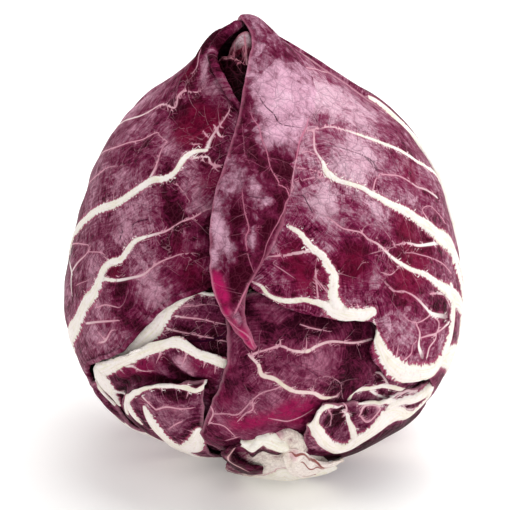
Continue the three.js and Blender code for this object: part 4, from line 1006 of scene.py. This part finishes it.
EDGE_RIBS = [
    [(-61, -20, 1.6), (-59.5, -21.5, 1.4), (-58.5, -23.5, 1.1), (-57.5, -26.5, 0.7)],
    [(-60, -20, 0.8), (-59.5, -23, 0.6)],
    [(-76, -70, 3), (-68, -46, 2), (-66, -36, 1.2), (-66, -28, 0.6)],
    [(-60, -66, 2.4), (-57, -48, 1.4), (-58, -36, 0.8)],
]
lower_skin = leaf_material("lower_skin", Blade=(0.12, 0.01, 0.045), Dark=(0.018, 0.0003, 0.004),
                           Bloom=(0.46, 0.2, 0.28), Blush=(0.2, 0.005, 0.05), Feather=0.6, Rim=0.35)
# Painted shade in the recess under the crest and in its crumpled hollows, painted highlights on the
# crests of its folds.
LOWER_TONES = [
    (-24, 3, 4, -1.5), (-14, 2, 4, -1.5), (-46, -20, 4, 0.7), (-27, -20, 6, 0.7), (-18, -24, 4, -0.9),
    (-38, -28, 5, -0.8), (-24.5, -3.5, 1.8, 1.6), (-22.8, -5, 1.6, 1.6), (-21, -6.8, 1.4, 1.2),
    (-17, -10.5, 2.2, -2), (-14.5, -15, 2.4, -2), (-42.5, -17, 1.6, 0.9),
]
# magenta-crimson on the crest blade, partly a painted highlight of the light on it
LOWER_BLUSHES = [
    (-44.5, -11.5, 3, 0.8), (-38.5, -8.5, 3.4, 1), (-34.5, -6.5, 3.4, 0.9), (-29.5, -3.5, 2.4, 0.6),
    (-19, -4, 3, 0.8), (-15, -6.5, 3, 0.6), (-26, -17, 4, 0.4), (-36, -17, 2, 0.6),
]
# the two creases where the crest leaf is pushed in above the loop
LOWER_CREASES = [
    [(-51, -28, 1.2), (-52, -24.5, 1.3), (-50, -21.5, 1.3), (-48.5, -19.5, 1.3), (-45.5, -16, 1.4),
     (-40.5, -12.6, 1.5), (-36.5, -11.2, 1.5), (-34, -10.9, 1.5), (-30.5, -11.2, 1.6),
     (-26.5, -12.2, 1.6), (-22, -12.6, 1.4)],
    [(-29, -3.5, 1), (-28, -4.5, 1.1), (-26.5, -6.5, 1.2), (-24.5, -8.3, 1.3), (-21.5, -9.3, 1.3),
     (-18.5, -9.8, 1.2)],
]
LOWER_FOLDS = [(-1.3, line) for line in LOWER_CREASES] + [
    (0.9, [(-24.8, -3.2, 1.4), (-22.8, -4.8, 1.4), (-20.5, -6.8, 1.3)]),
    (0.8, [(-46, -12.5, 1.6), (-39, -8.8, 1.8), (-33, -6, 1.6)])]
LOWER_RIB_HEIGHT, LOWER_THICKNESS = 0.35, 0.9
# painted shade along both creases
LOWER_TONES += [(lon, lat, 1.3 * width, -1.7) for line in LOWER_CREASES for lon, lat, width in line]
for name, net, cells, ribs, threads, seed, ripple, waves in (
        ("band", BAND_NET, (80, 100), BAND_RIBS, BAND_THREADS, 21, 0, 0),
        ("crest", CREST_NET, (130, 120), CREST_RIBS, CREST_THREADS, 22, 0, 0),
        ("loop", LOOP_NET, (80, 100), LOOP_RIBS, LOOP_THREADS, 23, 0, 0),
        ("edge", EDGE_NET, (70, 80), EDGE_RIBS, [], 24, 0.8, 2)):
    fine = side_veins(ribs + threads, 500 + seed, 3.4, 6)
    leaf_piece(f"leaf_low_left_{name}_blade", f"leaf_low_left_{name}", lower_skin, [
        leaf_sheet(net, cells, ribs, threads, fine, seed=seed, ripple=ripple, waves=waves,
                   folds=LOWER_FOLDS if name == "crest" else (), tones=LOWER_TONES,
                   blushes=LOWER_BLUSHES, fray=1 if name == "edge" else 0.5,
                   rib_height=LOWER_RIB_HEIGHT)], LOWER_THICKNESS)

# ---------------------------------------------------------------- lower right leaves
# Two crumpled leaves low on the right. The outer one is folded over into a broad white rim round
# a purple hollow; the inner one shows its white crest between it and the wrapper's lobe.

OUTER_NET = [
    [(48, -74, 0), (58, -74, 0), (68, -74, 0)],
    [(19, -56, -1.5), (40, -58, -1.5), (66, -50, -0.6)],
    [(13, -33, 1.2), (31, -42, 1.2), (66, -33, 0.8)],
    [(12.5, -21, 3), (30, -29, 2.2), (66, -25, 1.4)],
    [(17, -15, 1.2), (36, -19, 0.4), (64, -20.5, -0.8)],
]
OUTER_RIBS = [
    [(22.5, -17, 0.4), (18, -16.2, 0.6), (15, -17.2, 1.1), (13.8, -19.5, 1.4), (15.5, -23, 1.6),
     (19, -28.5, 1.8), (24, -33, 2), (28.5, -33.6, 2.3), (32, -31, 2.7), (35, -28.8, 3), (38, -27, 3.1),
     (42, -25.6, 3), (46.5, -26, 2.2), (51, -27.6, 1.5), (57, -27.2, 1.5), (62, -25.5, 2),
     (66, -25, 2.4)],
    [(42, -22.8, 1.6), (46.5, -22.4, 1.2), (53, -22.8, 1.3), (59.5, -22.6, 1.6), (65, -22.8, 2.2)],
    [(29.5, -18.3, 0.5), (33.5, -18.6, 0.55), (37.5, -19.4, 0.7), (41, -20.6, 0.9), (44, -21.8, 1)],
    [(24, -19.5, 0.4), (25.5, -21, 0.52), (26.5, -23.5, 0.6), (28, -26, 0.9), (29.5, -29.5, 1)],
]
OUTER_THREADS = [
    [(29.5, -21.5, 0.3), (30.5, -19.5, 0.35), (33, -19.5, 0.35), (36, -20.5, 0.35), (37.5, -22.5, 0.35),
     (35, -23.5, 0.3), (32, -24, 0.3), (29.5, -21.5, 0.3)],
    [(24, -16.5, 0.3), (25, -18.5, 0.35), (24.5, -21, 0.3)],
    [(48, -24, 0.4), (50, -25.5, 0.4), (52.5, -26, 0.4)],
    [(18.5, -17, 0.3), (20, -20, 0.2), (20, -22.5, 0.2)],
    [(45.5, -21.5, 0.5), (48.5, -22, 0.3), (52, -23.5, 0.3)],
    [(40.5, -19.5, 0.6), (45.5, -20, 0.4), (54, -21, 0.4)],
]
INNER_NET = [
    [(40, -70, -2.2), (50, -70, -2.2), (64, -70, -2.2)],
    [(22, -42, -2.4), (40, -42, -2.4), (64, -42, -2.4)],
    [(22, -25, -2.2), (42, -24, -2.4), (64, -26, -2.4)],
    [(24, -16, -1.6), (42, -17, -1.8), (63, -20, -2.2)],
    [(29, -8, -1.4), (38, -11, -1.7), (60, -15, -2)],
]
INNER_RIBS = [
    [(26.5, -17, 0.5), (27.5, -15, 0.6), (30.5, -14.5, 0.7), (34.5, -15, 0.7), (38, -15, 0.7),
     (43, -17, 0.7), (51.5, -21, 0.7), (63, -24, 0.8)],
    [(46, -68, 3), (44, -50, 2.4), (42, -34, 1.4)],
]
INNER_THREADS = [
    [(26.5, -14.5, 0.4), (29, -11.5, 0.35), (31.5, -10, 0.35), (34, -10, 0.35), (37.5, -12, 0.4),
     (39.5, -14.5, 0.4)],
    [(34, -16, 0.5), (37.5, -18.5, 0.5), (44, -22, 0.4), (51, -23.5, 0.3)],
]
OUTER_FOLDS = [
    (-1.6, [(20, -20, 3), (26, -25, 4), (26, -29, 3)]),
    (1.0, [(14, -20, 2), (17, -27, 2.4), (24, -33, 3)]),
    (-1.0, [(34, -21, 2.4), (40, -24, 2.4), (48, -25, 2.4)]),
]
# The dark patches are painted shade in the hollow, in the crevices between the white folds and on the
# underside that turns in towards the table.
RIM_TONES = [
    (22, -22, 4, -1.2), (36, -21, 3, 0.9), (24, -44, 8, -1.2), (40, -38, 8, -1.4), (54, -34, 8, -1.2),
    (36, -12, 4, -0.6), (31.5, -21, 1.5, -2.4), (34.5, -21.5, 1.2, -1.6), (19.5, -20.5, 2, -1.4),
    (22.5, -18, 1.6, -1.4), (38.5, -17.6, 1.2, -1.6), (42, -18.3, 1.2, -1.6), (46, -20.8, 1.4, -1.6),
    (50, -21.2, 1.3, -1.4), (50.5, -24.8, 1.3, -1.4), (53.5, -24.9, 1.2, -1.2),
]
for name, net, cells, ribs, threads, seed, ripple, waves, folds in (
        ("outer", OUTER_NET, (120, 110), OUTER_RIBS, OUTER_THREADS, 31, 0.8, 2.5, OUTER_FOLDS),
        ("inner", INNER_NET, (70, 70), INNER_RIBS, INNER_THREADS, 32, 0, 0, [])):
    fine = side_veins(ribs + threads, 900 + seed, 3.4, 6)
    leaf_piece(f"leaf_low_right_{name}_blade", f"leaf_low_right_{name}", lower_skin, [
        leaf_sheet(net, cells, ribs, threads, fine, seed=seed, ripple=ripple, waves=waves, folds=folds,
                   tones=RIM_TONES, fray=1, rib_height=LOWER_RIB_HEIGHT)], LOWER_THICKNESS)

# ---------------------------------------------------------------- bottom leaf
# The oldest leaf, bent under the front of the head: cream, half dry and crumpled, with a purple
# piece of blade left on its side.

BOTTOM_NET = [
    [(-22, -74, 2.2), (-8, -74, 2.2), (8, -74, 2.2), (22, -74, 2.2)],
    [(-22, -62, 2.6), (-6, -62, 2.2), (14, -61, 2.8), (36, -59, 2.4)],
    [(-17, -49, 2.6), (-4, -48, 2.4), (12, -47, 3.4), (34, -50, 3)],
    [(-13, -39, 1.2), (-3, -37, 1.8), (9, -35, 2.8), (25, -42, 1.8)],
    [(-8, -32, 0.6), (-1, -31, 0.6), (8, -29, 0.6), (17, -34, 0.8)],
]
SHELL_NET = [
    [(-8.5, -30.5, 0.6), (-12, -33.5, 0.6), (-14.5, -37.5, 0.6), (-15, -42, 0.6), (-14, -47, 0.6),
     (-13, -52, 0.8), (-10.5, -55, 0.8), (-5.5, -56, 0.8), (-1, -56, 0.8)],
    [(-7.5, -27, 2.8), (-12, -30, 2.8), (-14, -33, 2.8), (-14, -36.5, 2.8), (-12.5, -39.5, 2.8),
     (-11, -44, 2.8), (-8.5, -47, 2.8), (-5, -48.5, 2.8), (-1, -47.5, 2.8)],
    [(-7, -26, 4.2), (-10, -28, 4.2), (-11.5, -30.5, 4.4), (-11.5, -33, 4.2), (-10, -35, 4.4),
     (-8, -37.5, 4.2), (-6, -39, 4.2), (-3.5, -40, 4.2), (-0.5, -39.5, 4.2)],
    [(-6.5, -27.5, 3.4), (-8.5, -29, 3.2), (-10, -31, 3.4), (-10, -33, 3.2), (-9, -35, 3.4),
     (-7, -36.5, 3.2), (-5, -38, 3.6), (-2.5, -38.5, 3.4), (-0.5, -38.5, 3.6)],
]
RUFFLE_NET = [
    [(-7.5, -33, 1), (-5.5, -34.5, 1), (-4, -37, 1), (-2, -34.5, 1), (-0.5, -33.5, 1), (1.5, -34.5, 1),
     (4, -36, 1), (6, -36.5, 1), (8, -35.5, 1)],
    [(-7, -27, 3.2), (-5.5, -28, 3.6), (-3.5, -29, 4.2), (-2, -28.5, 3.4), (-0.5, -27.5, 3.2),
     (1, -28.5, 3.8), (3, -29, 3.8), (5, -30, 3.6), (7, -30.5, 3.2)],
    [(-7, -26, 3.6), (-5, -26.5, 3.6), (-3, -26.5, 3.6), (-1.5, -25, 3.6), (0, -24.5, 3.6),
     (1.5, -25, 3.6), (4, -26.5, 3.6), (5.5, -27.5, 3.6), (7, -29, 3.6)],
    [(-7, -27, 2.4), (-5, -26.5, 2.4), (-2.5, -25.5, 2.4), (-1.5, -24, 2.4), (0.5, -23.5, 2.4),
     (2.5, -23.5, 2.4), (4.5, -25.5, 2.4), (6, -27, 2.4), (7.5, -30, 2.4)],
]
PANEL_NET = [
    [(5.5, -36.5, 0.8), (7, -37.5, 0.8), (8.5, -38.5, 0.8), (10, -39, 0.8), (12.5, -40.5, 0.8),
     (14, -40.5, 0.8), (16, -41, 0.8), (17.5, -41.5, 0.8)],
    [(3.5, -28.5, 2.6), (5, -28, 2.6), (6.5, -28, 2.6), (8, -29, 2.6), (10, -30, 2.6),
     (11.5, -31.5, 2.6), (13, -33.5, 2.6), (15, -35, 2.6)],
    [(1, -25, 2.2), (3, -24.5, 2.2), (4.5, -24, 2.2), (6.5, -24, 2.2), (9, -25, 2.2), (11, -27, 2.2),
     (13, -30, 2.2), (15.5, -34.5, 2.2)],
    [(-0.5, -24.5, 0.9), (1.5, -23, 0.9), (4, -23, 0.9), (6, -23, 0.9), (9, -24, 0.9), (11, -25.5, 0.9),
     (13.5, -29, 0.9), (16, -35, 0.9)],
]
FLAP_NET = [
    [(7, -37.5, 2.2), (9, -42, 2.2), (11, -46, 2.2), (14, -48, 2.2), (17.5, -50.5, 2.2), (21, -51, 2.2),
     (23, -49, 2.2), (24.5, -46, 2.2), (27, -43.5, 2.2), (30.5, -42, 2.2)],
    [(5.5, -33, 4.4), (7, -36, 4.8), (9, -39.5, 5.2), (11.5, -41.5, 5), (13.5, -42, 5.2), (16, -43, 5),
     (19, -43, 4.6), (21, -40.5, 4.4), (24.5, -39.5, 4.2), (28, -37.5, 4)],
    [(5, -31, 4.8), (6, -30.5, 5.6), (8, -33, 4.6), (9.5, -32.5, 5.6), (12.5, -35, 4.8),
     (14.5, -34.5, 5.8), (18, -38, 4.6), (20.5, -37, 5), (23.5, -36.5, 4.6), (27.5, -37, 4)],
    [(4.5, -31.5, 3.4), (6.5, -30, 3.6), (8, -29.5, 3.4), (10, -30, 3.6), (12.5, -31.5, 3.4),
     (15, -33, 3.6), (18, -36, 3.6), (21, -37, 3.8), (24.5, -37.5, 3.6), (28, -37.5, 3.6)],
]
bottom_skin = leaf_material("bottom_skin", Blade=(0.16, 0.014, 0.06), Dark=(0.03, 0.0008, 0.008),
                            Bloom=(0.82, 0.74, 0.66), Blush=(0.7, 0.16, 0.34), Fringe=(0.6, 0.3, 0.34),
                            Rib=(0.88, 0.84, 0.78), Thread=(0.6, 0.34, 0.36), Ink=(0.3, 0.1, 0.09),
                            Feather=0.5, Net=0.3)
BOTTOM_RIBS = [
    [(0, -74, 7), (4, -62, 8), (8, -52, 6), (8, -44, 3)],
    [(22, -70, 5), (26, -56, 6), (24, -48, 5)],
]
RUFFLE_RIBS = [
    [(-7, -26.5, 1.8), (-5, -27, 1.8), (-3, -27, 2), (-1.5, -25.5, 2), (0, -25, 2), (1.5, -25.5, 2),
     (4, -27, 2), (5.5, -28, 2), (7.5, -30, 1.6)],
]
SHELL_THREADS = [
    [(-9, -29, 0.2), (-11.5, -33, 0.3), (-10, -37, 0.3), (-6, -41, 0.2)],
]
FLAP_THREADS = [
    [(8, -30.5, -0.2), (11, -31.5, -0.3), (14, -33, -0.2)],
    [(12, -34, -0.2), (16, -37, -0.3), (20, -39, -0.2)],
    [(15, -33.5, -0.2), (19, -37.5, -0.35), (22, -38.5, -0.2)],
    [(14, -41, -0.2), (18, -42, -0.3), (19, -43, -0.2)],
]
PANEL_THREADS = [
    [(1.5, -24, 0.14), (5, -27, 0.2), (9, -33, 0.14)],
]
PANEL_BLUSHES = [(2, -25, 2.6, 1.2), (4.5, -28, 1.4, 0.7)]
FLAP_BLUSHES = [(9, -31, 1.6, 0.6)]
# the tones here: above 0 the cream of the dry leaf, below 0 painted shade where the sheets curl in under
# the leaves above
BOTTOM_SHEETS = (
    (BOTTOM_NET, (90, 70), BOTTOM_RIBS, [], [(8, -44, 14, 3.5), (-10, -40, 8, -1.5)], [], 0.6),
    (SHELL_NET, (80, 40), [], SHELL_THREADS, [(-8, -38, 14, -1.2)], [], 0.4),
    (RUFFLE_NET, (90, 50), RUFFLE_RIBS, [], [(0, -30, 12, 1.0), (0, -35, 8, -3)], [], 0.4),
    (PANEL_NET, (70, 50), [], PANEL_THREADS, [(8, -30, 14, 1.7), (14, -33, 3, -1.4)], PANEL_BLUSHES, 0.5),
    (FLAP_NET, (100, 60), [], FLAP_THREADS, [(16, -38, 16, 3.4), (18, -45, 4, -1)], FLAP_BLUSHES, 0.8))
leaf_piece("leaf_bottom_blade", "leaf_bottom", bottom_skin, [
    leaf_sheet(net, cells, ribs, threads, seed=41 + k, tones=tones, blushes=blushes, swell=swell,
               puff=0, curl=0.3, fray=0.6)
    for k, (net, cells, ribs, threads, tones, blushes, swell) in enumerate(BOTTOM_SHEETS)], 0.7)

# ---------------------------------------------------------------- back leaves
# Three leaves close the back: a tall one with a straight white midrib, and two shorter ones low
# down over it, left and right, each with its own midrib and waved edge.

BACK_NET = [
    [(152, -74, 2.1), (168, -74, 2.1), (184, -74, 2.1), (208, -74, 2.1)],
    [(128, -46, 2.2), (162, -46, 2.8), (196, -46, 2.9), (230, -46, 2.2)],
    [(104, -18, 2), (156, -18, 2.7), (202, -18, 2.8), (242, -18, 2)],
    [(99, 10, 2), (154, 10, 2.5), (204, 10, 2.5), (247, 10, 1.8)],
    [(98, 38, 2), (154, 38, 2.3), (204, 38, 2.3), (247, 36, 1.8)],
    [(101, 60, 1.9), (154, 60, 2.3), (202, 60, 2.3), (240, 57, 1.8)],
    [(116, 74, 1.9), (156, 75, 2.3), (196, 75, 2.3), (228, 72, 1.9)],
    [(140, 83, 2), (162, 85, 2.4), (186, 85, 2.4), (208, 82, 2)],
    [(136, 86.6, 1.6), (160, 87.4, 1.2), (188, 87.4, 1.2), (212, 86.4, 1.2)],
]
BACK_LOW_RIGHT_NET = [
    [(100, -73, 3.9), (118, -73, 3.9), (136, -73, 3.9)],
    [(100, -46, 3.8), (130, -46, 4.6), (160, -46, 4.7)],
    [(107, -20, 3.7), (136, -20, 4.7), (168, -20, 4.8)],
    [(113, 4, 3.8), (138, 6, 4.5), (166, 2, 4.7)],
    [(121, 18, 4.2), (137, 22, 4.5), (154, 16, 4.8)],
]
BACK_LOW_LEFT_NET = [
    [(212, -73, 3.9), (230, -73, 3.9), (248, -73, 3.9)],
    [(198, -46, 4.8), (228, -46, 4.7), (257, -46, 3.7)],
    [(190, -20, 5.1), (222, -20, 4.8), (251, -20, 3.7)],
    [(192, 6, 4.9), (220, 8, 4.6), (245, 4, 3.8)],
    [(202, 24, 4.9), (219, 30, 4.4), (236, 24, 4.2)],
]
BACK_EDGE_RIBS = [
    [(108, -30, 2), (103, -12, 3), (100, 10, 3.2), (99, 30, 2.6), (100, 44, 1.6), (103, 58, 0.8)],
    [(238, -30, 2), (244, -12, 2.4), (246, 10, 2.2), (245, 30, 1.6), (242, 48, 1)],
]
back_skin = leaf_material("back_skin", Rim=1.0)


def fan(middle, foot, top, width, pairs, spread, seed):
    """A midrib from the foot to the top, with pairs of side ribs that rise towards the edges."""
    draw = np.random.default_rng(seed)
    rise = top - foot
    ribs = [[(middle + draw.normal(0, 1.5) * k / 5, foot + rise * k / 5, width * (1 - 0.18 * k))
             for k in range(6)]]
    for pair in range(pairs):
        start = foot + rise * (0.14 + 0.62 * pair / pairs)
        for side in (-1, 1):
            low = start + draw.uniform(-3, 3)
            w = width * 0.5 * (1 - 0.6 * pair / pairs)
            ribs.append([(middle, low, w), (middle + side * spread * 0.35, low + rise * 0.12, w * 0.7),
                         (middle + side * spread * 0.7, low + rise * 0.2, w * 0.4),
                         (middle + side * spread, low + rise * 0.24, w * 0.15)])
    return ribs


for name, net, cells, middle, foot, top, width, pairs, spread, seed, ripple, curl in (
        ("leaf_back", BACK_NET, (100, 110), 177, -74, 84, 4.2, 5, 58, 51, 0, 1.8),
        ("leaf_back_low_right", BACK_LOW_RIGHT_NET, (70, 80), 128, -73, 18, 3.6, 4, 32, 52, 0.8, 0.8),
        ("leaf_back_low_left", BACK_LOW_LEFT_NET, (70, 80), 228, -73, 24, 3.6, 4, 32, 53, 0.8, 0.8)):
    ribs = fan(middle, foot, top, width, pairs, spread, seed)
    if name == "leaf_back":
        ribs += BACK_EDGE_RIBS
    fine = side_veins(ribs, 1500 + seed, 5, 10)
    leaf_piece(f"{name}_blade", name, back_skin, [
        leaf_sheet(net, cells, ribs, [], fine, seed=seed, ripple=ripple, waves=3, fray=0.8, curl=curl)])

# ---------------------------------------------------------------- heart
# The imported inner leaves: a solid core with leaves standing out of it, each wrapping about a third
# of the way round. Only their tips show, in the opening below the head's tip.

HEART_DEPTH = 11.0              # the core's face lies this far inside the wrappers' faces
HEART_TURN, HEART_LEAVES, HEART_HALF_WIDTH = 137.5, 6, 62.0
HEART_CELLS = (34, 42)
HEART_NETS = []
for k in range(HEART_LEAVES):
    middle = -40 + k * HEART_TURN
    net = []
    for row, latitude in enumerate((-62, -25, 10, 40, 62, 76, 82)):
        spread = HEART_HALF_WIDTH * math.sin(math.pi * (0.16 + 0.62 * row / 6))
        drop = 9 if row > 3 else 0
        net.append([(middle + spread * s, latitude - drop * s * s,
                     0.8 + 0.5 * k + 0.3 * abs(s) ** 3 - HEART_DEPTH) for s in (-1, -0.5, 0, 0.5, 1)])
    HEART_NETS.append((net, fan(middle, -60, 78, 2.2, 4, 50, 61 + k), 0.6))
TIP_LEAF_NET = [
    [(-70, 40, -9), (-40, 40, -9), (-10, 40, -9), (20, 40, -9)],
    [(-66, 62, -7), (-40, 62, -6.6), (-12, 62, -6.6), (16, 62, -7)],
    [(-64, 75, -5.4), (-38, 76, -5), (-14, 76, -5), (14, 76, -5.4)],
    [(-66, 83, -4), (-42, 83.6, -3.4), (-18, 83.6, -3.4), (12, 82.4, -4.2)],
]
SPIKE_LEAF_NET = [
    [(-70, 40, -10.5), (-30, 40, -10.5), (10, 40, -10.5), (50, 40, -10.5)],
    [(-66, 66, -9), (-30, 66, -8), (10, 66, -8), (44, 66, -9)],
    [(-50, 79, -6), (-24, 80, -5.4), (10, 80, -5.2), (34, 79, -5.8)],
    [(-40, 85.2, -2.2), (-14, 86.4, -0.6), (10, 86.6, -0.4), (30, 85.4, -1.6)],
]
SPIKE_RIBS = [
    [(-6, 50, 0.6), (-6, 70, 0.5), (-4, 80, 0.4), (-2, 86, 0.3)],
    [(-6, 66, 0.4), (10, 78, 0.3), (16, 85, 0.2)],
    [(-6, 66, 0.4), (-24, 78, 0.3), (-30, 85, 0.2)],
]
TIP_RIBS = [
    [(-66, 82.4, 0.3), (-42, 83, 0.34), (-18, 83, 0.34), (12, 82, 0.3)],
]
HEART_NETS += [(TIP_LEAF_NET, TIP_RIBS, 0.2), (SPIKE_LEAF_NET, SPIKE_RIBS, 0.2)]
# a near-black dark colour for the painted shade deep in the opening
heart_skin = leaf_material("heart_skin", Blade=(0.1, 0.005, 0.018), Dark=(0.008, 0.0003, 0.0015),
                           Bloom=(0.5, 0.34, 0.38), Rib=(0.6, 0.45, 0.45), Thread=(0.5, 0.16, 0.22),
                           Rim=0.9)
# Painted shade over the inner leaves deep in the opening below the tip, and one pale patch at the spike
# leaf's tip.
HEART_TONES = [
    (-20, 72, 14, -3.5), (-20, 60, 14, -3), (-40, 78, 6, -2), (6, 78, 6, -2), (-8, 86.5, 3.4, 4.4),
]
leaf_piece("heart_leaves", "heart", heart_skin, [
    leaf_sheet(net, HEART_CELLS, ribs, fine=side_veins(ribs, 1700 + k, 5, 6), seed=61 + k, swell=0.3,
               curl=curl, tones=HEART_TONES)
    for k, (net, ribs, curl) in enumerate(HEART_NETS)])


def plain_material(name, **sockets):
    """A material with one even finish."""
    material = bpy.data.materials.new(name)
    material.use_nodes = True
    shader = material.node_tree.nodes["Principled BSDF"]
    for key, value in sockets.items():
        shader.inputs[key.replace("_", " ")].default_value = value
    return material


CORE_TOP = 80                   # above this latitude the core is round, with no tip of its own
# near black: painted shade of the core seen deep in the opening
core_painted_shade = plain_material("core_painted_shade", Base_Color=(0.012, 0.0006, 0.002, 1), Roughness=0.6,
                            Specular_IOR_Level=LEAF_GLOSS)
core_shape = bmesh.new()
bmesh.ops.create_uvsphere(core_shape, u_segments=64, v_segments=48, radius=1)
for point in core_shape.verts:
    latitude = math.degrees(math.asin(max(-1, min(1, point.co.z))))
    longitude = math.degrees(math.atan2(point.co.x, -point.co.y))
    lift = profile_radius(min(latitude, CORE_TOP)) - profile_radius(latitude) - HEART_DEPTH
    point.co = Vector(on_head(longitude, latitude, lift)) * MM
heart_core = finished("heart_core", core_shape, core_painted_shade)
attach(heart_core, "root")
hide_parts("heart")

# ---------------------------------------------------------------- root
# The trimmed root that every leaf grows from: pale firm flesh, cut flat with a knife, its face
# browned by the air in rings.

ROOT_OUTLINE = ((0, 0), (12.2, 0), (13, 0.8), (12, 3), (10, 7), (8, 15.1), (0, 15.1))
ROOT_WIDTH, CUT_EDGE, ROOT_NECK = 12, 0.9, 14       # its flank is uneven from the cut to the neck
ROOT_DENTS, DENT_SIZE = 0.05, 2.4


def root_material():
    material = bpy.data.materials.new("root_flesh")
    material.use_nodes = True
    tree = material.node_tree
    tree.nodes.clear()
    place = wire(tree, "ShaderNodeTexCoord").outputs["Object"]
    settings = {"wave_type": "RINGS", "rings_direction": "Z"}
    rings = wire(tree, "ShaderNodeTexWave", settings, Vector=place, Scale=160.0, Distortion=3.0,
                 Detail=3.0, Detail_Scale=2.0).outputs["Fac"]
    stains = wire(tree, "ShaderNodeTexNoise", Vector=place, Scale=240.0, Detail=5.0).outputs["Fac"]
    ringed = ramp(tree, rings, 0.3, 0.9, 0.0, 0.5)
    color = blend(tree, ringed, (0.68, 0.58, 0.4, 1), (0.5, 0.36, 0.2, 1))
    color = blend(tree, ramp(tree, stains, 0.5, 0.75), color, (0.3, 0.17, 0.09, 1))
    relief = wire(tree, "ShaderNodeBump", Strength=0.6, Distance=RELIEF_DEPTH, Height=stains).outputs[0]
    shine = wire(tree, "ShaderNodeBsdfPrincipled", Base_Color=color, Roughness=0.75, Normal=relief)
    wire(tree, "ShaderNodeOutputMaterial", Surface=shine.outputs[0])
    return material


root_shape = bmesh.new()
corners = [root_shape.verts.new((x * MM, 0, z * MM)) for x, z in ROOT_OUTLINE]
sides = [root_shape.edges.new(pair) for pair in zip(corners, corners[1:])]
bmesh.ops.subdivide_edges(root_shape, edges=sides, cuts=7)
bmesh.ops.spin(root_shape, geom=root_shape.verts[:] + root_shape.edges[:], cent=(0, 0, 0),
               axis=(0, 0, 1), angle=2 * math.pi, steps=96, use_merge=True)
bmesh.ops.remove_doubles(root_shape, verts=root_shape.verts, dist=1e-6)
bmesh.ops.recalc_face_normals(root_shape, faces=root_shape.faces)
for point in root_shape.verts:
    spot = point.co / MM
    side = min(math.hypot(spot.x, spot.y) / ROOT_WIDTH, 1)
    if CUT_EDGE < spot.z < ROOT_NECK:
        point.co.xy *= 1 - ROOT_DENTS * side * abs(noise.noise(spot / DENT_SIZE))
root_stub = finished("root_stub", root_shape, root_material())
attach(root_stub, "root")
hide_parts("root")

# ---------------------------------------------------------------- floor, light and camera
# A white table top under white studio light: one very large soft lamp overhead, a white panel on
# each side a little behind the head, a small one in front, and a dim room, so the leaves that
# face the camera stay deep in tone.

floor_paint = plain_material("floor_paint", Base_Color=(0.93, 0.925, 0.915, 1), Roughness=0.9,
                             Specular_IOR_Level=0.2, Emission_Color=(1, 0.99, 0.98, 1),
                             Emission_Strength=0.18)
floor_shape = bmesh.new()
bmesh.ops.create_grid(floor_shape, x_segments=1, y_segments=1, size=3)
floor = finished("floor", floor_shape, floor_paint)

room = bpy.data.worlds.new("room")
room.use_nodes = True
room.node_tree.nodes["Background"].inputs[0].default_value = (1, 1, 1, 1)
room.node_tree.nodes["Background"].inputs[1].default_value = 0.5
bpy.context.scene.world = room


def soft_lamp(name, place, wide, high, power):
    """A white panel that faces the head."""
    lamp = bpy.data.objects.new(name, bpy.data.lights.new(name, "AREA"))
    lamp.data.shape = "RECTANGLE"
    lamp.data.size, lamp.data.size_y = wide, high
    lamp.data.energy = power
    lamp.location = place
    aim = Vector(place) - Vector((0, 0, HEART_CENTRE * MM))
    lamp.rotation_mode = "QUATERNION"
    lamp.rotation_quaternion = aim.to_track_quat("Z", "Y")
    bpy.context.scene.collection.objects.link(lamp)


soft_lamp("top_lamp", (0.25, 0.2, 1.15), 1.5, 1.1, 12)
soft_lamp("right_panel", (0.95, 0.25, 0.4), 0.8, 0.8, 3.5)
soft_lamp("left_panel", (-0.95, 0.35, 0.4), 0.8, 0.8, 2.5)
soft_lamp("front_panel", (0.3, -1.1, 0.7), 0.5, 0.5, 3.2)

VIEW_RISE = math.radians(20)    # the camera looks down by this much
VIEW_DISTANCE = 0.9
PICTURE, MM_PER_PIXEL = 510, 0.30           # pixels across, and their size at the head's middle
HEAD_MIDDLE_PIXEL = (264, 285)
SENSOR = 36
back = Vector((0, -math.cos(VIEW_RISE), math.sin(VIEW_RISE)))
camera = bpy.data.objects.new("camera", bpy.data.cameras.new("camera"))
camera.location = Vector((0, 0, HEART_CENTRE * MM)) + VIEW_DISTANCE * back
camera.rotation_mode = "QUATERNION"
camera.rotation_quaternion = back.to_track_quat("Z", "Y")
camera.data.sensor_width = SENSOR
camera.data.lens = SENSOR * VIEW_DISTANCE / (PICTURE * MM_PER_PIXEL * MM)
camera.data.shift_x = (PICTURE / 2 - HEAD_MIDDLE_PIXEL[0]) / PICTURE
camera.data.shift_y = -(PICTURE / 2 - HEAD_MIDDLE_PIXEL[1]) / PICTURE
bpy.context.scene.collection.objects.link(camera)
bpy.context.scene.camera = camera
bpy.context.scene.view_settings.view_transform = "Standard"
